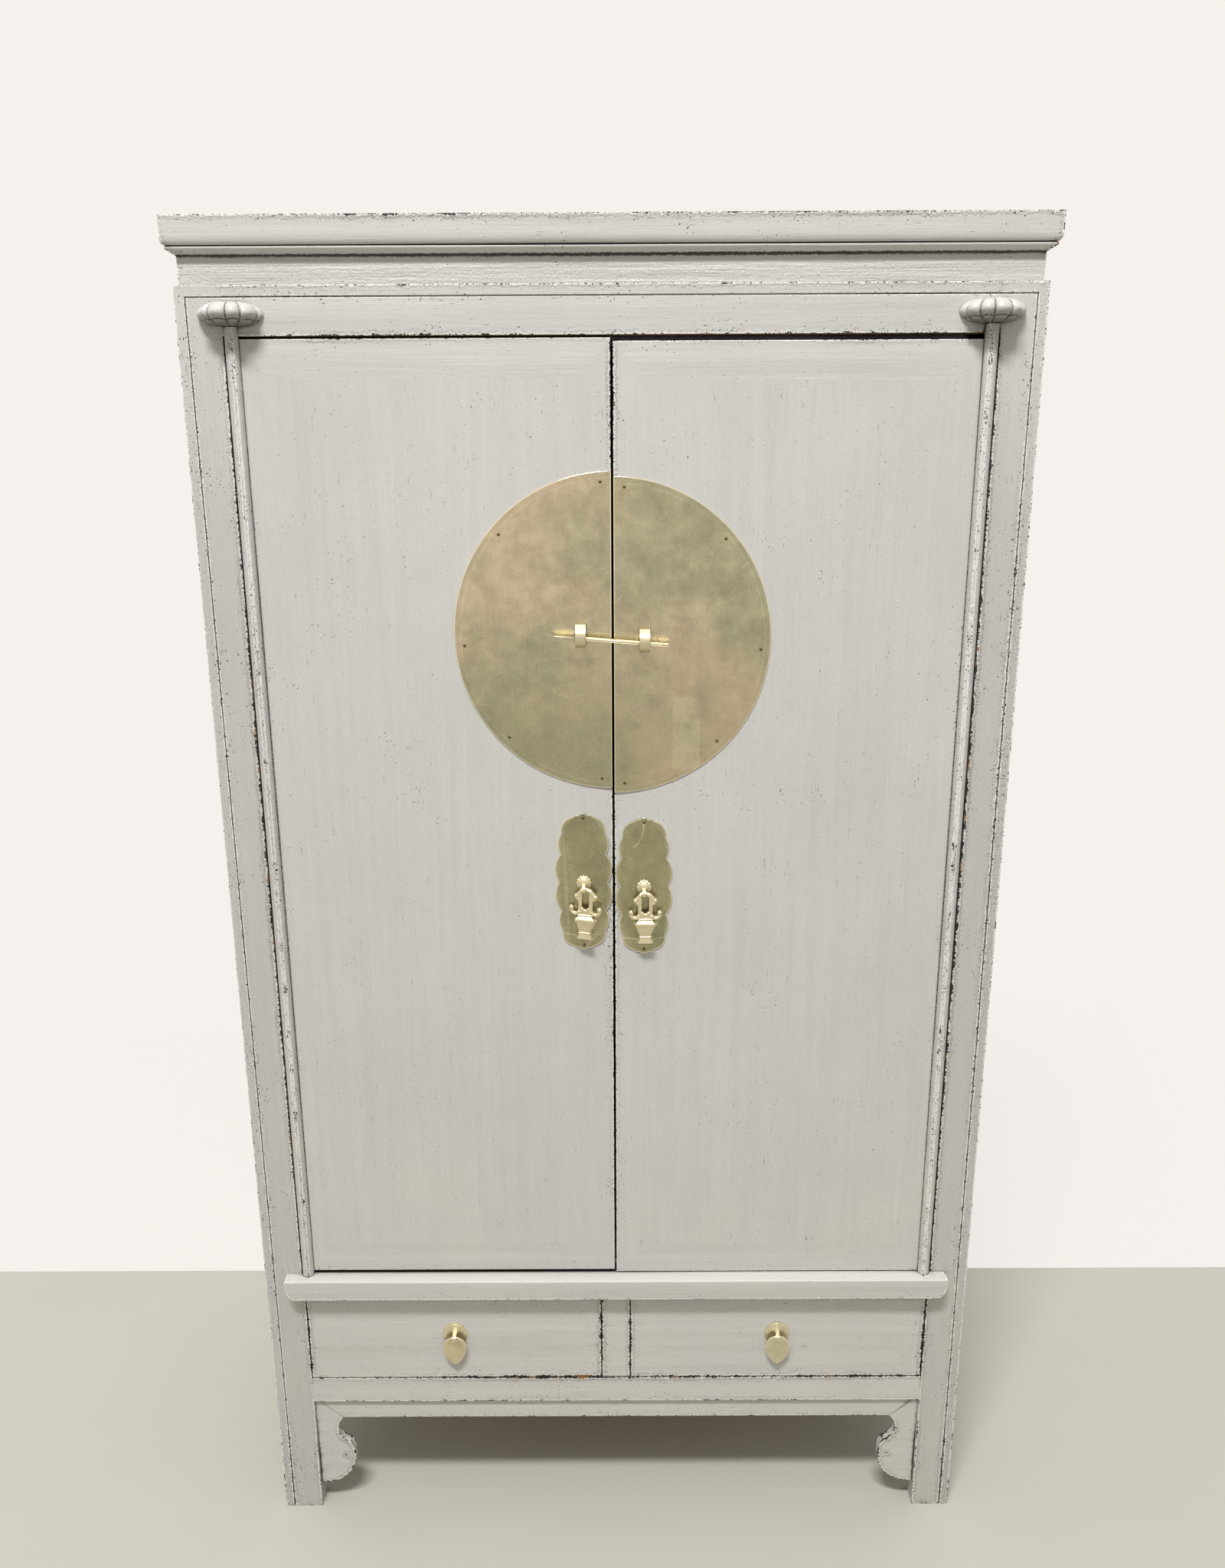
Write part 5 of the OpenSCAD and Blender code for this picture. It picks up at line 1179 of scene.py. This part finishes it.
class CABINET_OT_stage(bpy.types.Operator):
    """Set up the floor, the studio light, the background and the camera"""

    bl_idname = "cabinet.stage"
    bl_label = "Stage"

    def execute(self, context):
        scene = context.scene
        colours = scene.cabinet_colours
        mesh = bpy.data.meshes.new("studio_floor")
        mesh.from_pydata(FLOOR, [], [(0, 1, 2, 3)])
        mesh.materials.append(studio_floor("Painted studio floor"))
        floor = bpy.data.objects.new("studio_floor", mesh)
        scene.collection.objects.link(floor)

        world = bpy.data.worlds.new("Studio")
        world.use_nodes = True
        world.node_tree.nodes.clear()
        add = partial(add_node, world.node_tree)
        back = add("Background", colours.wall, 1.0)
        up = add("TexCoord", out="Generated")
        up = add("SeparateXYZ", up, out=2)
        up = add("MapRange", up, From=(0.15, 0.95), To=(0.1, 1.0))
        fill = add("Background", linear("#fbfaf8"), up)
        both = add("MixShader", seen_directly(add), fill, back)
        add("OutputWorld", both)
        scene.world = world

        for name, at, width, height, watts in LAMPS:
            lamp = bpy.data.lights.new(name, "AREA")
            lamp.shape, lamp.size, lamp.size_y, lamp.energy = "RECTANGLE", width, height, watts
            lamp_object = bpy.data.objects.new(name, lamp)
            lamp_object.location = at
            lamp_object.rotation_euler = (Vector(LAMP_AIM) - Vector(at)).to_track_quat("-Z", "Y").to_euler()
            lamp_object.visible_camera = False
            scene.collection.objects.link(lamp_object)

        tilt = Matrix.Rotation(CAMERA_ROLL, 3, "Z") @ Matrix.Rotation(CAMERA_PITCH, 3, "X")
        turn = tilt @ CAMERA_BASE @ Matrix.Rotation(CAMERA_YAW, 3, "Z")
        data = bpy.data.cameras.new("camera")
        data.sensor_width, data.lens = 36.0, CAMERA_LENS
        data.clip_start, data.clip_end = 0.05, 60.0
        camera = bpy.data.objects.new("camera", data)
        turn = Matrix((turn[0], -turn[1], -turn[2])).transposed().to_4x4()
        camera.matrix_world = Matrix.Translation(CAMERA_AT) @ turn
        scene.collection.objects.link(camera)
        scene.camera = camera
        scene.view_settings.view_transform = "Standard"
        return {"FINISHED"}


class CABINET_PT_pieces(bpy.types.Panel):
    bl_idname = "CABINET_PT_pieces"
    bl_label = "Cabinet"
    bl_space_type = "VIEW_3D"
    bl_region_type = "UI"
    bl_category = "Cabinet"

    def draw(self, context):
        for group in (context.scene.cabinet_sizes, context.scene.cabinet_colours):
            for name in group.__annotations__:
                self.layout.prop(group, name)
        for operator in STEPS:
            self.layout.operator(operator.bl_idname)


STEPS = (
    CABINET_OT_stage, CABINET_OT_carcass, CABINET_OT_inside, CABINET_OT_caps, CABINET_OT_plates,
    CABINET_OT_nails, CABINET_OT_lock, CABINET_OT_baskets, CABINET_OT_drawer_pulls,
)
CLASSES = (CabinetColours, CabinetSizes, *STEPS, CABINET_PT_pieces)


def register():
    for cls in CLASSES:
        bpy.utils.register_class(cls)
    bpy.types.Scene.cabinet_colours = bpy.props.PointerProperty(type=CabinetColours)
    bpy.types.Scene.cabinet_sizes = bpy.props.PointerProperty(type=CabinetSizes)


def unregister():
    del bpy.types.Scene.cabinet_colours
    del bpy.types.Scene.cabinet_sizes
    for cls in reversed(CLASSES):
        bpy.utils.unregister_class(cls)


def main():
    register()
    for operator in STEPS:
        group, name = operator.bl_idname.split(".")
        getattr(getattr(bpy.ops, group), name)()


if __name__ == "__main__":
    main()
